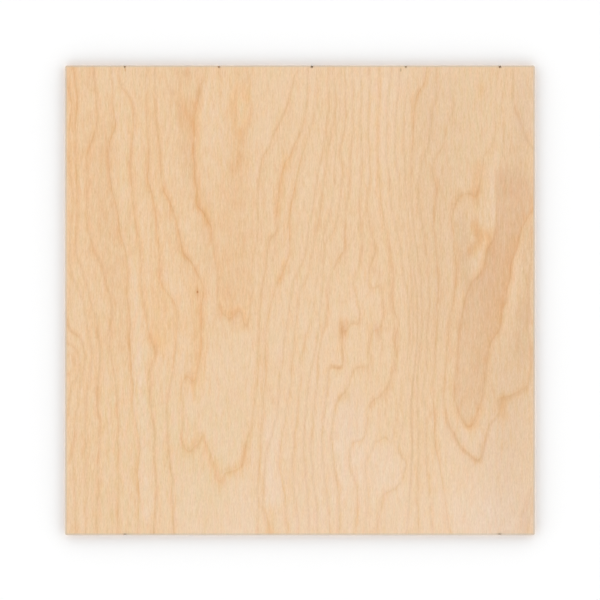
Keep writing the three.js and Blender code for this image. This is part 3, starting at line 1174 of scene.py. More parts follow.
@dataclass(frozen=True)
class GlueLine:
    """Dried glue and crushed fibre between two plies."""

    glue: Colour = linear(150, 112, 76)
    fibre: Colour = linear(186, 148, 108)
    run_range: Point = (-0.15, 0.2)
    roughness: float = 0.6
    run_roughness: float = 0.3

    def material(self) -> bpy.types.Material:
        """Build the glue line's material, dark and pale by turns along the edge.

        Returns:
            The finished material.
        """
        shader = Shader("glue_line")
        run = shader.grain(shader.place(), DRIED_GLUE)
        colour = shader.mix(run.between(*self.run_range), self.glue, self.fibre)
        return shader.dress(Base_Color=colour,
                            Roughness=self.roughness + run * self.run_roughness)


@dataclass(frozen=True)
class NickWall:
    """The scorched wall of a slat nick."""

    char: Colour = linear(138, 110, 74)
    brown: Colour = linear(180, 148, 106)
    run_range: Point = (-0.2, 0.2)
    roughness: float = 0.75
    run_roughness: float = 0.2

    def material(self) -> bpy.types.Material:
        """Build the nick wall's material, darker in patches.

        Returns:
            The finished material.
        """
        shader = Shader("nick_wall")
        run = shader.grain(shader.place(), CHARRING)
        colour = shader.mix(run.between(*self.run_range), self.char, self.brown)
        return shader.dress(Base_Color=colour,
                            Roughness=self.roughness + run * self.run_roughness)


# ---------------------------------------------------------------------------------------------
# Figure of the wood
# ---------------------------------------------------------------------------------------------

@dataclass(frozen=True)
class SheetSizes:
    """Sizes of the sheet, in metres; those of the brown marks round the nicks, which are scorch and
    painted nick shade, are in drawing units.
    """

    width: float = 300 * MM
    length: float = 300 * MM
    thickness: float = 3.0 * MM
    corner_radius: float = 1.4 * MM
    corner_steps: int = 8
    arris_radius: float = 0.4 * MM
    arris_steps: int = 3
    face_ply: float = 0.9 * MM
    glue_width: float = 0.10 * MM
    glue_depth: float = 0.05 * MM
    nick_mouth: float = 1.0 * MM
    nick_tip_radius: float = 0.25 * MM
    nick_tip_round: float = 0.225 * MM
    nick_tip_steps: int = 4
    nick_pitch: float = 59.8 * MM
    first_nick: float = 38.2 * MM
    head_nick_depth: float = 1.6 * MM
    foot_nick_depth: float = 0.8 * MM
    nick_floor: float = 0.7 * MM
    head_nicks: tuple[int, ...] = (0, 1, 2, 3, 4)
    foot_nicks: tuple[int, ...] = (0, 4)
    clean_nick: int = 1
    cutter_overrun: float = 1.0 * MM
    rim_width: float = 1.5 * MM
    veneer_margin: float = 3.2 * MM
    # Marks round the nicks, scorch partly painted as nick shade, in drawing units.
    nick_mark_half_width: float = 1.45
    head_nick_mark_inset: float = 0.8
    head_nick_mark_reach: float = 2.3
    foot_nick_mark_inset: float = 0.5
    foot_nick_mark_reach: float = 1.6

    @property
    def drawing_unit(self) -> float:
        """One unit of the veneer drawing, in metres."""
        return self.width / DRAWING_SPAN

    def from_drawing(self, place: Point) -> Point:
        """Turn a place on the drawing into x and y on the face."""
        x = (place[0] - DRAWING_LEFT) * self.drawing_unit - self.width / 2
        y = self.length / 2 - (place[1] - DRAWING_TOP) * self.drawing_unit
        return (x, y)

    def nick_x(self, number: int) -> float:
        """Where a nick's middle is, counted from the left edge."""
        return -self.width / 2 + self.first_nick + number * self.nick_pitch

    def in_glue(self, z: float) -> bool:
        """Say whether a height is in a glue line's groove."""
        lines = (self.face_ply, self.thickness - self.face_ply)
        return any(abs(z - line) < self.glue_width / 2 for line in lines)

    def nick_shade_marks(self) -> tuple[Fleck, ...]:
        """Place the brown marks round the nicks: scorch, partly painted shade of the nicks.

        Returns:
            The marks, on the drawing.
        """
        marks = []
        head = DRAWING_TOP + self.head_nick_mark_inset
        foot = DRAWING_TOP + DRAWING_SPAN - self.foot_nick_mark_inset
        for numbers, height, reach in ((self.head_nicks, head, self.head_nick_mark_reach),
                                       (self.foot_nicks, foot, self.foot_nick_mark_reach)):
            for number in numbers:
                x = DRAWING_LEFT + (self.nick_x(number) + self.width / 2) / self.drawing_unit
                depth = CLEAR if number == self.clean_nick else SCORCHED_AND_SHADED
                marks.append(Fleck((x, height), (self.nick_mark_half_width, reach), depth))
        return tuple(marks)


# Straight parts of a smooth run between two of its points.
CURVE_PARTS = 8


def smooth_run(points: Sequence[Point], step: float) -> np.ndarray:
    """Run a smooth curve through points and walk it in even steps.

    Args:
        points: places that the curve passes through.
        step: distance between the places returned, in the same unit.

    Returns:
        Places along the curve, one row each.
    """
    ends = np.asarray(points, dtype=float)
    if len(ends) < 2:
        return ends
    guide = np.vstack([2 * ends[0] - ends[1], ends, 2 * ends[-1] - ends[-2]])
    fine = []
    part = np.linspace(0.0, 1.0, CURVE_PARTS + 1)[:-1, None]
    for p0, p1, p2, p3 in zip(guide, guide[1:], guide[2:], guide[3:]):
        bend = 2 * p0 - 5 * p1 + 4 * p2 - p3
        twist = 3 * (p1 - p2) + p3 - p0
        fine.append(0.5 * (2 * p1 + (p2 - p0) * part + bend * part**2 + twist * part**3))
    curve = np.vstack([*fine, ends[-1:]])
    length = np.concatenate([[0.0], np.cumsum(np.linalg.norm(np.diff(curve, axis=0), axis=1))])
    marks = np.linspace(0.0, length[-1], max(2, round(length[-1] / step) + 1))
    return np.column_stack([np.interp(marks, length, curve[:, axis]) for axis in (0, 1)])


@dataclass
class RingField:
    """A smooth field of ring numbers, fitted to the growth lines.

    Args:
        lines: the drawn growth lines.
        holds: places between lines where the ring number is known.
        step: distance between fitted places along a line, in drawing units.
        along: how much less a distance along the fibres counts than one across them.
        softness: radius over which the field is rounded, in drawing units.
        slack: how far the field may miss a line, so that it stays smooth.
        focus: how quickly one line's look gives way to the next one's.
    """

    lines: Sequence[GrowthLine]
    holds: Sequence[HoldPoint]
    step: float = 7.0
    along: float = 0.42
    softness: float = 2.0
    slack: float = 0.02
    focus: int = 4
    centres: np.ndarray = field(init=False)
    weights: np.ndarray = field(init=False)
    habits: np.ndarray = field(init=False)

    def __post_init__(self) -> None:
        """Fit the field."""
        places = []
        rings = []
        habits = []
        for line in self.lines:
            run = smooth_run(line.points, self.step)
            places.append(run)
            rings.append(np.full(len(run), float(line.ring)))
            along = np.linspace(0.0, 1.0, len(run))
            habits.append(np.column_stack([
                np.ones(len(run)), self._spread(along, [look.bold for look in line.looks]),
                self._spread(along, [look.flank for look in line.looks]),
                self._spread(along, [look.warmth for look in line.looks]),
            ]))
        places.append(np.array([hold.place for hold in self.holds], dtype=float))
        rings.append(np.array([hold.ring for hold in self.holds], dtype=float))
        habits.append(np.zeros((len(self.holds), 4)))
        self.centres = self._squeezed(np.vstack(places))
        self.habits = np.vstack(habits)
        known = np.concatenate(rings)
        count = len(self.centres)
        system = np.zeros((count + 3, count + 3))
        system[:count, :count] = -self._reach(self.centres)
        system[range(count), range(count)] += self.slack
        system[:count, count:] = self._plane(self.centres)
        system[count:, :count] = system[:count, count:].T
        self.weights = np.linalg.solve(system, np.concatenate([known, np.zeros(3)]))

    @staticmethod
    def _spread(along: np.ndarray, values: Sequence[float]) -> np.ndarray:
        """Read values that stand at even steps from nought to one."""
        return np.interp(along, np.linspace(0.0, 1.0, len(values)), values)

    def _squeezed(self, places: np.ndarray) -> np.ndarray:
        """Shorten distances along the fibres."""
        return places * np.array([1.0, self.along])

    def _plane(self, places: np.ndarray) -> np.ndarray:
        """Terms of a flat slope under the field."""
        return np.column_stack([np.ones(len(places)), places / DRAWING_SPAN])

    def _reach(self, places: np.ndarray) -> np.ndarray:
        """Rounded distance from each place to each centre."""
        dx = places[:, 0:1] - self.centres[None, :, 0]
        dy = places[:, 1:2] - self.centres[None, :, 1]
        return np.sqrt(dx * dx + dy * dy + self.softness**2)

    def at(self, places: np.ndarray, batch: int = 3000) -> np.ndarray:
        """Read the rings at places on the drawing.

        Args:
            places: places on the drawing, one row each.
            batch: how many places are read at a time.

        Returns:
            One row for each place: the ring number, the rings crossed in one drawing unit, and
            how bold, how broadly flanked and how warm the lines near it are.
        """
        out = np.empty((len(places), 5))
        count = len(self.centres)
        pull = self.weights[:count]
        tilt = self.weights[count + 1:] / DRAWING_SPAN
        moments = np.column_stack([pull, self.centres * pull[:, None]])
        for start in range(0, len(places), batch):
            part = self._squeezed(places[start:start + batch])
            reach = self._reach(part)
            rows = out[start:start + batch]
            rows[:, 0] = self._plane(part) @ self.weights[count:] - reach @ pull
            closeness = 1.0 / reach
            near = closeness @ moments
            lean = tilt - (part * near[:, :1] - near[:, 1:])
            rows[:, 1] = np.hypot(lean[:, 0], lean[:, 1] * self.along)
            closeness **= self.focus
            habit = closeness @ self.habits
            rows[:, 2:] = habit[:, 1:] / habit[:, :1]
        return out


@dataclass(frozen=True)
class Wave:
    """A wave over the back: its height, how fast it turns along x and y, and its start."""

    height: float
    across: float
    along: float
    start: float = 0.0

    def at(self, x: np.ndarray, y: np.ndarray) -> np.ndarray:
        """Height of the wave at places in metres."""
        return self.height * np.sin(self.across * x + self.along * y + self.start)


@dataclass(frozen=True)
class BackRings:
    """The plain cathedral figure of the back face, which is drawn by rule."""

    heart: float = 0.028
    flare: float = 0.021
    rise: float = 0.021
    steepness: float = 0.55
    blunt: float = 1.3
    first_ring: float = 9.0
    flank: float = 0.4
    tint: float = 0.1
    sways: tuple[Wave, ...] = (Wave(0.010, 0.0, 11.0, 0.6), Wave(0.004, 0.0, 37.0, 2.0))
    ripples: tuple[Wave, ...] = (Wave(0.22, 58.0, 19.0), Wave(0.12, 141.0, -33.0, 1.0))

    def at(self, x: np.ndarray, y: np.ndarray) -> np.ndarray:
        """Read the ring number at places on the back.

        Args:
            x: the places' x, in metres.
            y: the places' y, in metres.

        Returns:
            The ring number at each place.
        """
        sway = sum(wave.at(x, y) for wave in self.sways)
        across = (x - self.heart - sway) / self.flare
        ripple = sum(wave.at(x, y) for wave in self.ripples)
        climb = y / self.rise * self.steepness
        return np.hypot(across, self.blunt) + climb + ripple + self.first_ring


# A stroke is walked in steps of this share of its half width.
STROKE_STEP = 0.7
# How softly a stroke ends at its lowest and highest ring, in drawing units.
RING_BLUR = 1.6
# Fewest rings crossed in one drawing unit that this is worked out with.
LEAST_SLOPE = 0.01


def stroke_depth(strokes: Sequence[Stroke], places: np.ndarray, ring: np.ndarray,
                 slope: np.ndarray) -> np.ndarray:
    """Add up soft strokes.

    Args:
        strokes: the strokes.
        places: places on the drawing, one row each.
        ring: ring number at each place.
        slope: rings crossed in one drawing unit at each place.

    Returns:
        The strokes' summed depth at each place.
    """
    total = np.zeros(len(places))
    for stroke in strokes:
        squeeze = np.array([1.0, 1.0 / stroke.stretch]) / stroke.half_width
        run = smooth_run(stroke.points, stroke.half_width * STROKE_STEP) * squeeze
        near = np.full(len(places), np.inf)
        scaled = places * squeeze
        for x, y in run:
            away = (scaled[:, 0] - x) ** 2 + (scaled[:, 1] - y) ** 2
            near = np.minimum(near, away)
        low, high = stroke.rings
        inside = np.minimum(ring - low, high - ring) / np.maximum(slope, LEAST_SLOPE)
        kept = np.clip(inside / RING_BLUR + 0.5, 0.0, 1.0)
        total += stroke.depth * np.exp(-near**stroke.crisp) * kept
    return total


# ---------------------------------------------------------------------------------------------
# Workshop
# ---------------------------------------------------------------------------------------------

class Bench:
    """Plain steps at the bench: pick a piece up, shape it in edit mode, put it down."""

    @staticmethod
    def clear() -> None:
        """Deselect every object."""
        bpy.ops.object.select_all(action="DESELECT")

    @staticmethod
    def pick(piece: bpy.types.Object) -> None:
        """Make a piece the only one selected, and active."""
        Bench.clear()
        piece.select_set(True)
        bpy.context.view_layer.objects.active = piece

    @staticmethod
    @contextmanager
    def shaping(piece: bpy.types.Object, mode: str) -> Iterator[None]:
        """Enter edit mode on a piece with nothing selected.

        Args:
            piece: the piece to shape.
            mode: VERT, EDGE or FACE.
        """
        Bench.pick(piece)
        bpy.ops.object.mode_set(mode="EDIT")
        bpy.ops.mesh.select_mode(type=mode)
        bpy.ops.mesh.select_all(action="DESELECT")
        yield
        bpy.ops.object.mode_set(mode="OBJECT")

    @staticmethod
    def choose(piece: bpy.types.Object, kind: str, test: Callable[..., bool]) -> None:
        """Select the vertices, edges or faces that pass a test, in edit mode.

        Args:
            piece: the piece in edit mode.
            kind: verts, edges or faces.
            test: says whether an element is chosen.
        """
        mesh = bmesh.from_edit_mesh(piece.data)
        for element in getattr(mesh, kind):
            if test(element):
                element.select_set(True)
        mesh.select_flush_mode()
        bmesh.update_edit_mesh(piece.data)

    @staticmethod
    def level(edge: bmesh.types.BMEdge, height: float) -> bool:
        """Say whether an edge lies flat at a height."""
        return all(abs(vertex.co.z - height) < TOUCHING for vertex in edge.verts)

    @staticmethod
    def block(name: str, centre: Point3, size: Point3) -> bpy.types.Object:
        """Add a squared block with its size in its mesh.

        Args:
            name: the piece's name.
            centre: where its middle is.
            size: its size along x, y and z.

        Returns:
            The new piece.
        """
        Bench.clear()
        bpy.ops.mesh.primitive_cube_add(size=1.0, location=centre)
        piece = bpy.context.active_object
        piece.name = name
        piece.scale = size
        bpy.ops.object.transform_apply(location=True, rotation=True, scale=True)
        return piece

    @staticmethod
    def join(first: bpy.types.Object, others: Sequence[bpy.types.Object]) -> None:
        """Join pieces into one.

        Args:
            first: the piece that the others become part of.
            others: the other pieces.
        """
        Bench.pick(first)
        for other in others:
            other.select_set(True)
        bpy.ops.object.join()

    @staticmethod
    def scrap(piece: bpy.types.Object) -> None:
        """Throw a piece away."""
        bpy.data.objects.remove(piece, do_unlink=True)


class Strip(IntEnum):
    """Strips of the bake map, from the lowest up."""

    RIGHT = 0
    LEFT = 1
    HEAD = 2
    FOOT = 3
    HEAD_NICKS = 4
    FOOT_NICKS = 5
    UNDER_NICKS = 6


@dataclass(frozen=True)
class BakeMap:
    """Where each part of the surface lies on the bake map, which runs from 0 to 1 both ways.

    Args:
        sizes: the sheet's sizes.
        margin: room left free at the map's left and right.
        top: where the top face starts, and how high it is.
        back: where the back starts, and how high it is.
        strips: where the first of the edge strips starts.
        strip: height of one strip.
        strip_pad: room left free at a strip's foot, as a share of it.
        strip_fill: how much of a strip is used.
        nick_room: how far a nick's two walls are moved apart.
        nick_reach: how much of a strip the wood under a nick takes.
        foot_nick_start: where in the strip the wood under the foot's nicks starts.
    """

    sizes: SheetSizes
    margin: float = 0.001
    top: Point = (0.41, 0.588)
    back: Point = (0.082, 0.322)
    strips: float = 0.004
    strip: float = 0.010
    strip_pad: float = 0.1
    strip_fill: float = 0.8
    nick_room: float = 0.5
    nick_reach: float = 0.35
    foot_nick_start: float = 0.55

    def across(self, place: Vector) -> float:
        """Share of the sheet's width at a place."""
        return place.x / self.sizes.width + 0.5

    def along(self, place: Vector) -> float:
        """Share of the sheet's length at a place."""
        return place.y / self.sizes.length + 0.5

    def put(self, u: float, v: float) -> Point:
        """Keep a place on the map clear of the map's sides."""
        return (self.margin + (1.0 - 2 * self.margin) * u, v)

    def on_strip(self, u: float, row: Strip, start: float, share: float) -> Point:
        """Put a place on a strip, from where it starts in the strip."""
        return self.put(u, (row + start + share) * self.strip + self.strips)

    def on_face(self, place: Vector, top: bool) -> Point:
        """Put a place of the top or the back on the map."""
        start, height = self.top if top else self.back
        return self.put(self.across(place), start + height * self.along(place))

    def on_edge(self, place: Vector, normal: Vector) -> Point:
        """Put a place of a sawn edge on the strip of the side that it faces.

        Args:
            place: the place on the sheet.
            normal: which way the edge faces there.

        Returns:
            The place on the map.
        """
        share = self.strip_fill * place.z / self.sizes.thickness
        if abs(normal.x) > abs(normal.y):
            row = Strip.RIGHT if normal.x > 0 else Strip.LEFT
            return self.on_strip(self.along(place), row, self.strip_pad, share)
        row = Strip.HEAD if normal.y > 0 else Strip.FOOT
        return self.on_strip(self.across(place), row, self.strip_pad, share)

    def on_nick_wall(self, place: Vector, lean: float) -> Point:
        """Put a place of a nick's wall on the strip of the head or the foot.

        Args:
            place: the place on the sheet.
            lean: x of the wall's normal, which tells its two walls apart.

        Returns:
            The place on the map.
        """
        depth = self.sizes.length / 2 - abs(place.y)
        shift = math.copysign(depth / self.sizes.width * self.nick_room, lean)
        share = self.strip_fill * place.z / self.sizes.thickness
        row = Strip.HEAD_NICKS if place.y > 0 else Strip.FOOT_NICKS
        return self.on_strip(self.across(place) - shift, row, self.strip_pad, share)

    def on_nick_floor(self, place: Vector) -> Point:
        """Put a place of the wood under a nick on the last strip.

        Args:
            place: the place on the sheet.

        Returns:
            The place on the map.
        """
        depth = self.sizes.length / 2 - abs(place.y)
        start = self.strip_pad if place.y > 0 else self.foot_nick_start
        share = self.nick_reach * depth / self.sizes.head_nick_depth
        return self.on_strip(self.across(place), Strip.UNDER_NICKS, start, share)


# How far a face of the mesh leans, as the upright part of its normal.
UPRIGHT = 0.05
EASED = 0.35
STEEP = 0.5
LYING = 0.9


class Slot(IntEnum):
    """The sheet's material slots."""

    FACE = 0
    SIDE_FACE_PLY = 1
    SIDE_CORE = 2
    HEAD_FACE_PLY = 3
    HEAD_CORE = 4
    GLUE = 5
    NICK = 6


@dataclass
class PlySheet:
    """The plywood sheet: squared, rounded, eased, grooved at its glue lines, nicked, faced.

    Args:
        sizes: the sheet's sizes.
        face_cells: cells of the top face along x and y.
        back_cells: cells of the back along x and y.
        head_cuts: how many times the head and the foot are divided.
        side_cuts: how many times the sides are divided.
        crease_degrees: angle past which an edge stays crisp.
        corner_zone: how far in from its tip a corner reaches, in corner radii.
        edge_zone: how far in from the outline an edge reaches, in depths of the glue groove.
        narrowest_gap: narrowest room between two rings, in millimetres.
        widest_gap: widest room between two rings, in millimetres.
    """

    sizes: SheetSizes = field(default_factory=SheetSizes)
    face_cells: tuple[int, int] = (360, 190)
    back_cells: tuple[int, int] = (150, 60)
    head_cuts: int = 240
    side_cuts: int = 130
    crease_degrees: float = 32.0
    corner_zone: float = 3.0
    edge_zone: float = 1.5
    narrowest_gap: float = 0.5
    widest_gap: float = 40.0
    piece: bpy.types.Object = field(init=False)

    def build(self) -> bpy.types.Object:
        """Build and dress the sheet.

        Returns:
            The finished piece.
        """
        self.square_blank()
        self.round_corners()
        self.divide_edges()
        self.ease_arrises()
        self.score_glue_lines()
        self.cut_nicks()
        self.lay_face(self.sizes.thickness, self.face_cells)
        self.lay_face(0.0, self.back_cells)
        self.draw_figure()
        self.dress()
        self.unwrap()
        self.smooth()
        return self.piece

    def square_blank(self) -> None:
        """Start from a block of the sheet's size."""
        s = self.sizes
        self.piece = Bench.block("birch_sheet", (0.0, 0.0, s.thickness / 2),
                                 (s.width, s.length, s.thickness))

    def round_corners(self) -> None:
        """Round the four upright corners."""
        s = self.sizes
        with Bench.shaping(self.piece, "EDGE"):
            Bench.choose(self.piece, "edges",
                         lambda e: abs(e.verts[0].co.z - e.verts[1].co.z) > s.thickness / 2)
            bpy.ops.mesh.bevel(offset=s.corner_radius, offset_type="OFFSET",
                               segments=s.corner_steps, profile=0.5, affect="EDGES")

    def divide_edges(self) -> None:
        """Divide the long edges, so that the faces can follow the figure up to the rim."""
        s = self.sizes
        with Bench.shaping(self.piece, "FACE"):
            Bench.choose(self.piece, "faces", lambda f: abs(f.normal.z) > LYING)
            bpy.ops.mesh.delete(type="ONLY_FACE")
        for axis, cuts in ((0, self.head_cuts), (1, self.side_cuts)):
            with Bench.shaping(self.piece, "EDGE"):
                Bench.choose(
                    self.piece, "edges",
                    lambda e, axis=axis:
                    abs(e.verts[0].co[axis] - e.verts[1].co[axis]) > s.width / 2,
                )
                bpy.ops.mesh.subdivide(number_cuts=cuts)
        for height in (0.0, s.thickness):
            with Bench.shaping(self.piece, "EDGE"):
                Bench.choose(self.piece, "edges", lambda e, height=height: Bench.level(e, height))
                bpy.ops.mesh.edge_face_add()

    def ease_arrises(self) -> None:
        """Ease the long edges of both faces with fine sandpaper's radius."""
        s = self.sizes
        with Bench.shaping(self.piece, "EDGE"):
            Bench.choose(self.piece, "edges",
                         lambda e: Bench.level(e, 0.0) or Bench.level(e, s.thickness))
            bpy.ops.mesh.bevel(offset=s.arris_radius, offset_type="OFFSET",
                               segments=s.arris_steps, profile=0.5, affect="EDGES")

    def score_glue_lines(self) -> None:
        """Cut a shallow groove round the edge at each glue line."""
        s = self.sizes
        for height in (s.face_ply, s.thickness - s.face_ply):
            for level in (-0.5, 0.0, 0.5):
                with Bench.shaping(self.piece, "EDGE"):
                    bpy.ops.mesh.select_all(action="SELECT")
                    bpy.ops.mesh.bisect(plane_co=(0, 0, height + level * s.glue_width),
                                        plane_no=(0, 0, 1))
            with Bench.shaping(self.piece, "VERT"):
                Bench.choose(self.piece, "verts",
                             lambda v, height=height: abs(v.co.z - height) < TOUCHING)
                bpy.ops.transform.shrink_fatten(value=-s.glue_depth)

    def nick_cutter(self, name: str, x: float, edge: float, depth: float) -> bpy.types.Object:
        """Make a wedge with a rounded tip.

        Args:
            name: the cutter's name.
            x: where its middle is.
            edge: y of the edge that it cuts, below zero for the foot.
            depth: how far in it reaches.

        Returns:
            The cutter.
        """
        s = self.sizes
        inward = -math.copysign(1.0, edge)
        tip = edge + inward * depth
        outer = edge - inward * s.cutter_overrun
        tip_width = 2 * s.nick_tip_radius
        flare = (s.nick_mouth - tip_width) / depth
        outer_width = s.nick_mouth + flare * s.cutter_overrun
        height = s.thickness - s.nick_floor + s.cutter_overrun
        cutter = Bench.block(name, (x, (tip + outer) / 2, s.nick_floor + height / 2),
                             (outer_width, abs(tip - outer), height))
        with Bench.shaping(cutter, "VERT"):
            Bench.choose(cutter, "verts", lambda v: abs(v.co.y - tip) < TOUCHING)
            bpy.ops.transform.resize(value=(tip_width / outer_width, 1, 1),
                                     center_override=(x, tip, 0))
        with Bench.shaping(cutter, "EDGE"):
            Bench.choose(
                cutter, "edges",
                lambda e: all(abs(v.co.y - tip) < TOUCHING for v in e.verts)
                and abs(e.verts[0].co.z - e.verts[1].co.z) > height / 2,
            )
            bpy.ops.mesh.bevel(offset=s.nick_tip_round, segments=s.nick_tip_steps, profile=0.5,
                               affect="EDGES")
        return cutter

    def cut_nicks(self) -> None:
        """Cut the nicks that the packing slats leave at the head and the foot."""
        s = self.sizes
        cutters = [
            self.nick_cutter(f"head_nick_{n}", s.nick_x(n), s.length / 2, s.head_nick_depth)
            for n in s.head_nicks
        ] + [
            self.nick_cutter(f"foot_nick_{n}", s.nick_x(n), -s.length / 2, s.foot_nick_depth)
            for n in s.foot_nicks
        ]
        Bench.join(cutters[0], cutters[1:])
        Bench.pick(self.piece)
        cut = self.piece.modifiers.new("nicks", "BOOLEAN")
        cut.operation = "DIFFERENCE"
        cut.solver = "EXACT"
        cut.object = cutters[0]
        bpy.ops.object.modifier_apply(modifier=cut.name)
        Bench.scrap(cutters[0])

    def lay_face(self, height: float, cells: tuple[int, int]) -> None:
        """Lay a face of small cells in place of the single flat face at a height.

        Args:
            height: z of the face.
            cells: how many cells it has along x and y.
        """
        s = self.sizes
        with Bench.shaping(self.piece, "FACE"):
            Bench.choose(
                self.piece, "faces",
                lambda f: abs(f.normal.z) > LYING and abs(f.verts[0].co.z - height) < TOUCHING
                and f.calc_area() > s.width * s.length / 2,
            )
            bpy.ops.mesh.inset(thickness=s.rim_width - s.arris_radius)
            bpy.ops.mesh.delete(type="ONLY_FACE")
        Bench.clear()
        bpy.ops.mesh.primitive_grid_add(x_subdivisions=cells[0], y_subdivisions=cells[1],
                                        size=1.0, location=(0.0, 0.0, height))
        face = bpy.context.active_object
        face.scale = (s.width - 2 * s.veneer_margin, s.length - 2 * s.veneer_margin, 1.0)
        bpy.ops.object.transform_apply(location=True, rotation=True, scale=True)
        Bench.join(self.piece, [face])
        with Bench.shaping(self.piece, "EDGE"):
            Bench.choose(self.piece, "edges", lambda e: e.is_boundary)
            bpy.ops.mesh.fill(use_beauty=True)
        with Bench.shaping(self.piece, "FACE"):
            bpy.ops.mesh.select_all(action="SELECT")
            bpy.ops.mesh.normals_make_consistent(inside=False)

    def vertex_places(self) -> np.ndarray:
        """Read where the mesh's vertices are.

        Returns:
            Their places, one row each.
        """
        mesh = self.piece.data
        flat = np.empty(len(mesh.vertices) * 3)
        mesh.vertices.foreach_get("co", flat)
        return flat.reshape(-1, 3)

    def store(self, name: str, values: np.ndarray) -> None:
        """Store one number at each vertex."""
        layer = self.piece.data.attributes.new(name, "FLOAT", "POINT")
        layer.data.foreach_set("value", values.astype(np.float32))

    def draw_figure(self) -> None:
        """Store the wood's figure at the vertices: rings, ring gap, stains and tone, and the rim
        band where painted edge shade is laid.
        """
        s = self.sizes
        spots = self.vertex_places()
        x, y, z = spots.T
        unit = s.drawing_unit
        drawing = np.column_stack([(x + s.width / 2) / unit + DRAWING_LEFT,
                                   (s.length / 2 - y) / unit + DRAWING_TOP])
        top = z > s.thickness / 2
        rows = np.ones((len(spots), 5))
        rows[top] = RingField(GROWTH_LINES, HOLD_POINTS).at(drawing[top])
        ring, slope, bold, flank, warmth = rows.T
        tints = {tint: stroke_depth(strokes, drawing, ring, slope)
                 for tint, strokes in STROKES.items()}
        slope /= unit / MM
        back = BackRings()
        bx, by = x[~top], y[~top]
        ring[~top] = back.at(bx, by)
        dx = back.at(bx + MM, by) - back.at(bx - MM, by)
        dy = back.at(bx, by + MM) - back.at(bx, by - MM)
        slope[~top] = np.hypot(dx, dy) / 2
        self.store("ring", ring)
        self.store("gap", 1.0 / np.clip(slope, 1.0 / self.widest_gap, 1.0 / self.narrowest_gap))
        self.store("bold", bold)
        self.store("flank", np.where(top, flank, back.flank))
        self.store("warmth", warmth)
        for tint, depth in tints.items():
            self.store(tint.value, np.where(top, depth, back.tint))
        # The rim band, full at the arris and gone a rim's width in, is where the painted edge shade
        # is laid.
        inset = np.minimum(s.width / 2 - np.abs(x), s.length / 2 - np.abs(y))
        self.store("rim", np.clip((s.rim_width - inset) / (s.rim_width - s.arris_radius), 0, 1))

    def dress(self) -> None:
        """Give each part of the surface its finish."""
        s = self.sizes
        long_light, long_dark = linear(208, 174, 134), linear(178, 138, 97)
        end_light, end_dark = linear(166, 127, 89), linear(122, 88, 58)
        materials = {
            Slot.FACE: FaceVeneer().material(s),
            Slot.SIDE_FACE_PLY: PlyEdge("face_ply_long_grain", Grain.LONG_Y,
                                        long_light, long_dark).material(),
            Slot.SIDE_CORE: PlyEdge("core_end_grain", Grain.END, end_light, end_dark).material(),
            Slot.HEAD_FACE_PLY: PlyEdge("face_ply_end_grain", Grain.END,
                                        end_light, end_dark).material(),
            Slot.HEAD_CORE: PlyEdge("core_long_grain", Grain.LONG_X,
                                    long_light, long_dark).material(),
            Slot.GLUE: GlueLine().material(),
            Slot.NICK: NickWall().material(),
        }
        mesh = self.piece.data
        mesh.materials.clear()
        for slot in Slot:
            mesh.materials.append(materials[slot])
        for polygon in mesh.polygons:
            polygon.material_index = self.slot_of(polygon.center, polygon.normal)

    def slot_of(self, centre: Vector, normal: Vector) -> Slot:
        """Say which finish a face of the mesh has.

        Args:
            centre: the middle of the face.
            normal: which way it faces.

        Returns:
            The slot of its finish.
        """
        s = self.sizes
        if self.in_nick(centre, normal):
            clean = abs(centre.x - s.nick_x(s.clean_nick)) < s.nick_mouth
            return Slot.SIDE_FACE_PLY if clean else Slot.NICK
        if s.in_glue(centre.z):
            return Slot.GLUE
        if abs(normal.z) > EASED:
            return Slot.FACE
        core = s.face_ply < centre.z < s.thickness - s.face_ply
        if abs(normal.x) > abs(normal.y):
            return Slot.SIDE_CORE if core else Slot.SIDE_FACE_PLY
        return Slot.HEAD_CORE if core else Slot.HEAD_FACE_PLY

    def in_nick(self, centre: Vector, normal: Vector) -> bool:
        """Say whether a face of the mesh is the wall of a nick, or the wood that it stops at.

        Args:
            centre: the middle of the face.
            normal: which way it faces.

        Returns:
            Whether it is part of a nick.
        """
        s = self.sizes
        if abs(normal.z) > UPRIGHT:
            return normal.z > LYING and centre.z < s.thickness / 2
        from_side = s.width / 2 - abs(centre.x)
        from_end = s.length / 2 - abs(centre.y)
        near_corner = max(from_side, from_end) < self.corner_zone * s.corner_radius
        return min(from_side, from_end) > self.edge_zone * s.glue_depth and not near_corner

    def unwrap(self) -> None:
        """Lay out the bake map: the top, the back, and the edges in strips below them."""
        mesh = self.piece.data
        bake = BakeMap(self.sizes)
        layer = mesh.uv_layers.new(name="OFBake")
        for polygon in mesh.polygons:
            normal = polygon.normal
            nick = self.in_nick(polygon.center, normal)
            faced = polygon.material_index == Slot.FACE
            for loop in polygon.loop_indices:
                place = mesh.vertices[mesh.loops[loop].vertex_index].co
                if faced:
                    uv = bake.on_face(place, normal.z > 0)
                elif nick and abs(normal.z) < STEEP:
                    uv = bake.on_nick_wall(place, normal.x)
                elif nick:
                    uv = bake.on_nick_floor(place)
                else:
                    uv = bake.on_edge(place, normal)
                layer.data[loop].uv = uv

    def smooth(self) -> None:
        """Shade the eased arrises smooth and keep the sawn edges crisp."""
        Bench.pick(self.piece)
        bpy.ops.object.shade_smooth_by_angle(angle=math.radians(self.crease_degrees))


# ---------------------------------------------------------------------------------------------
# Studio
# ---------------------------------------------------------------------------------------------

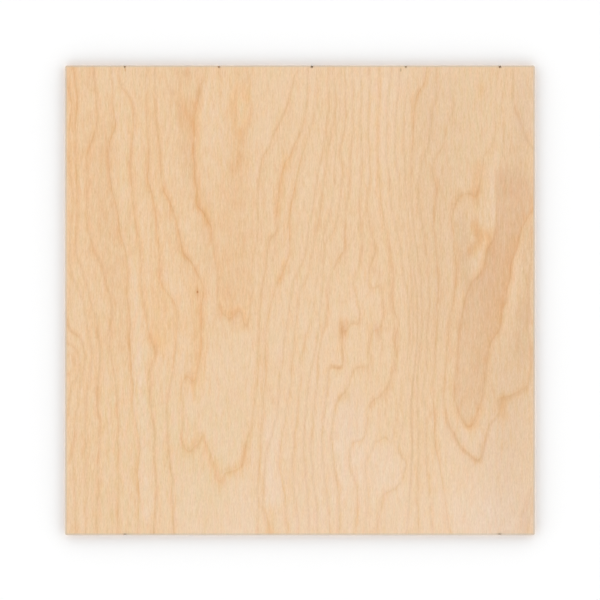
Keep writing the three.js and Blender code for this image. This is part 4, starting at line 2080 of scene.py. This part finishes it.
@dataclass(frozen=True)
class Studio:
    """A white floor under an even white sky, and a camera looking straight down."""

    floor_size: float = 8.0
    frame_width: float = 383 * MM
    lens: float = 100.0
    sensor: float = 36.0
    clip_end: float = 20.0
    look_at: Point = (0.0, 0.19 * MM)
    sky_top: float = 0.12
    sky_rise: float = 5.4

    def build(self, top: float) -> None:
        """Build the floor, the sky and the camera.

        Args:
            top: height of the sheet's top face, which the frame is measured at.
        """
        self.lay_floor()
        self.light_sky()
        self.set_camera(top)

    def lay_floor(self) -> None:
        """Lay a plain white floor."""
        Bench.clear()
        bpy.ops.mesh.primitive_plane_add(size=self.floor_size, location=(0, 0, 0))
        floor = bpy.context.active_object
        floor.name = "studio_floor"
        shader = Shader("studio_floor")
        floor.data.materials.append(shader.dress(Base_Color=(1.0, 1.0, 1.0, 1.0), Roughness=1.0,
                                                 Specular_IOR_Level=0.0))

    def light_sky(self) -> None:
        """Light the scene evenly from all sides, more from low down than from overhead."""
        world = bpy.data.worlds.new("even_sky")
        world.use_nodes = True
        sky = Wiring(world.node_tree)
        background = sky.tree.nodes["Background"]
        _, _, up = sky.split(sky.add("ShaderNodeTexCoord", output="Generated"))
        low = 1.0 - up.at_least(0.0)
        glow = self.sky_top + low * low * self.sky_rise
        camera = sky.add("ShaderNodeLightPath", output="Is Camera Ray")
        rays = camera.link.node.outputs
        seen = camera + Socket(sky, rays["Is Glossy Ray"]) + Socket(sky, rays["Is Transmission Ray"])
        sky.join(glow * (1.0 - seen) + seen, background.inputs["Strength"])
        background.inputs["Color"].default_value = (1.0, 1.0, 1.0, 1.0)
        bpy.context.scene.world = world
        bpy.context.scene.view_settings.view_transform = "Standard"

    def set_camera(self, top: float) -> None:
        """Hang the camera above the sheet, looking straight down.

        Args:
            top: height of the sheet's top face, which the frame is measured at.
        """
        distance = self.frame_width * self.lens / self.sensor
        Bench.clear()
        bpy.ops.object.camera_add(location=(*self.look_at, top + distance), rotation=(0, 0, 0))
        camera = bpy.context.active_object
        camera.data.lens = self.lens
        camera.data.sensor_width = self.sensor
        camera.data.clip_end = self.clip_end
        bpy.context.scene.camera = camera


def main() -> None:
    """Load the frame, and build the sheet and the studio."""
    logging.basicConfig(level=logging.INFO, format="%(name)s: %(message)s")
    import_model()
    sheet = PlySheet()
    piece = sheet.build()
    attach(piece, CAD_BODY)
    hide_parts(CAD_NODE)
    LOG.info("%s: %d faces, %d vertices", piece.name, len(piece.data.polygons),
             len(piece.data.vertices))
    Studio().build(sheet.sizes.thickness)
    LOG.info("studio: floor, even sky and camera")


if __name__ == "__main__":
    main()
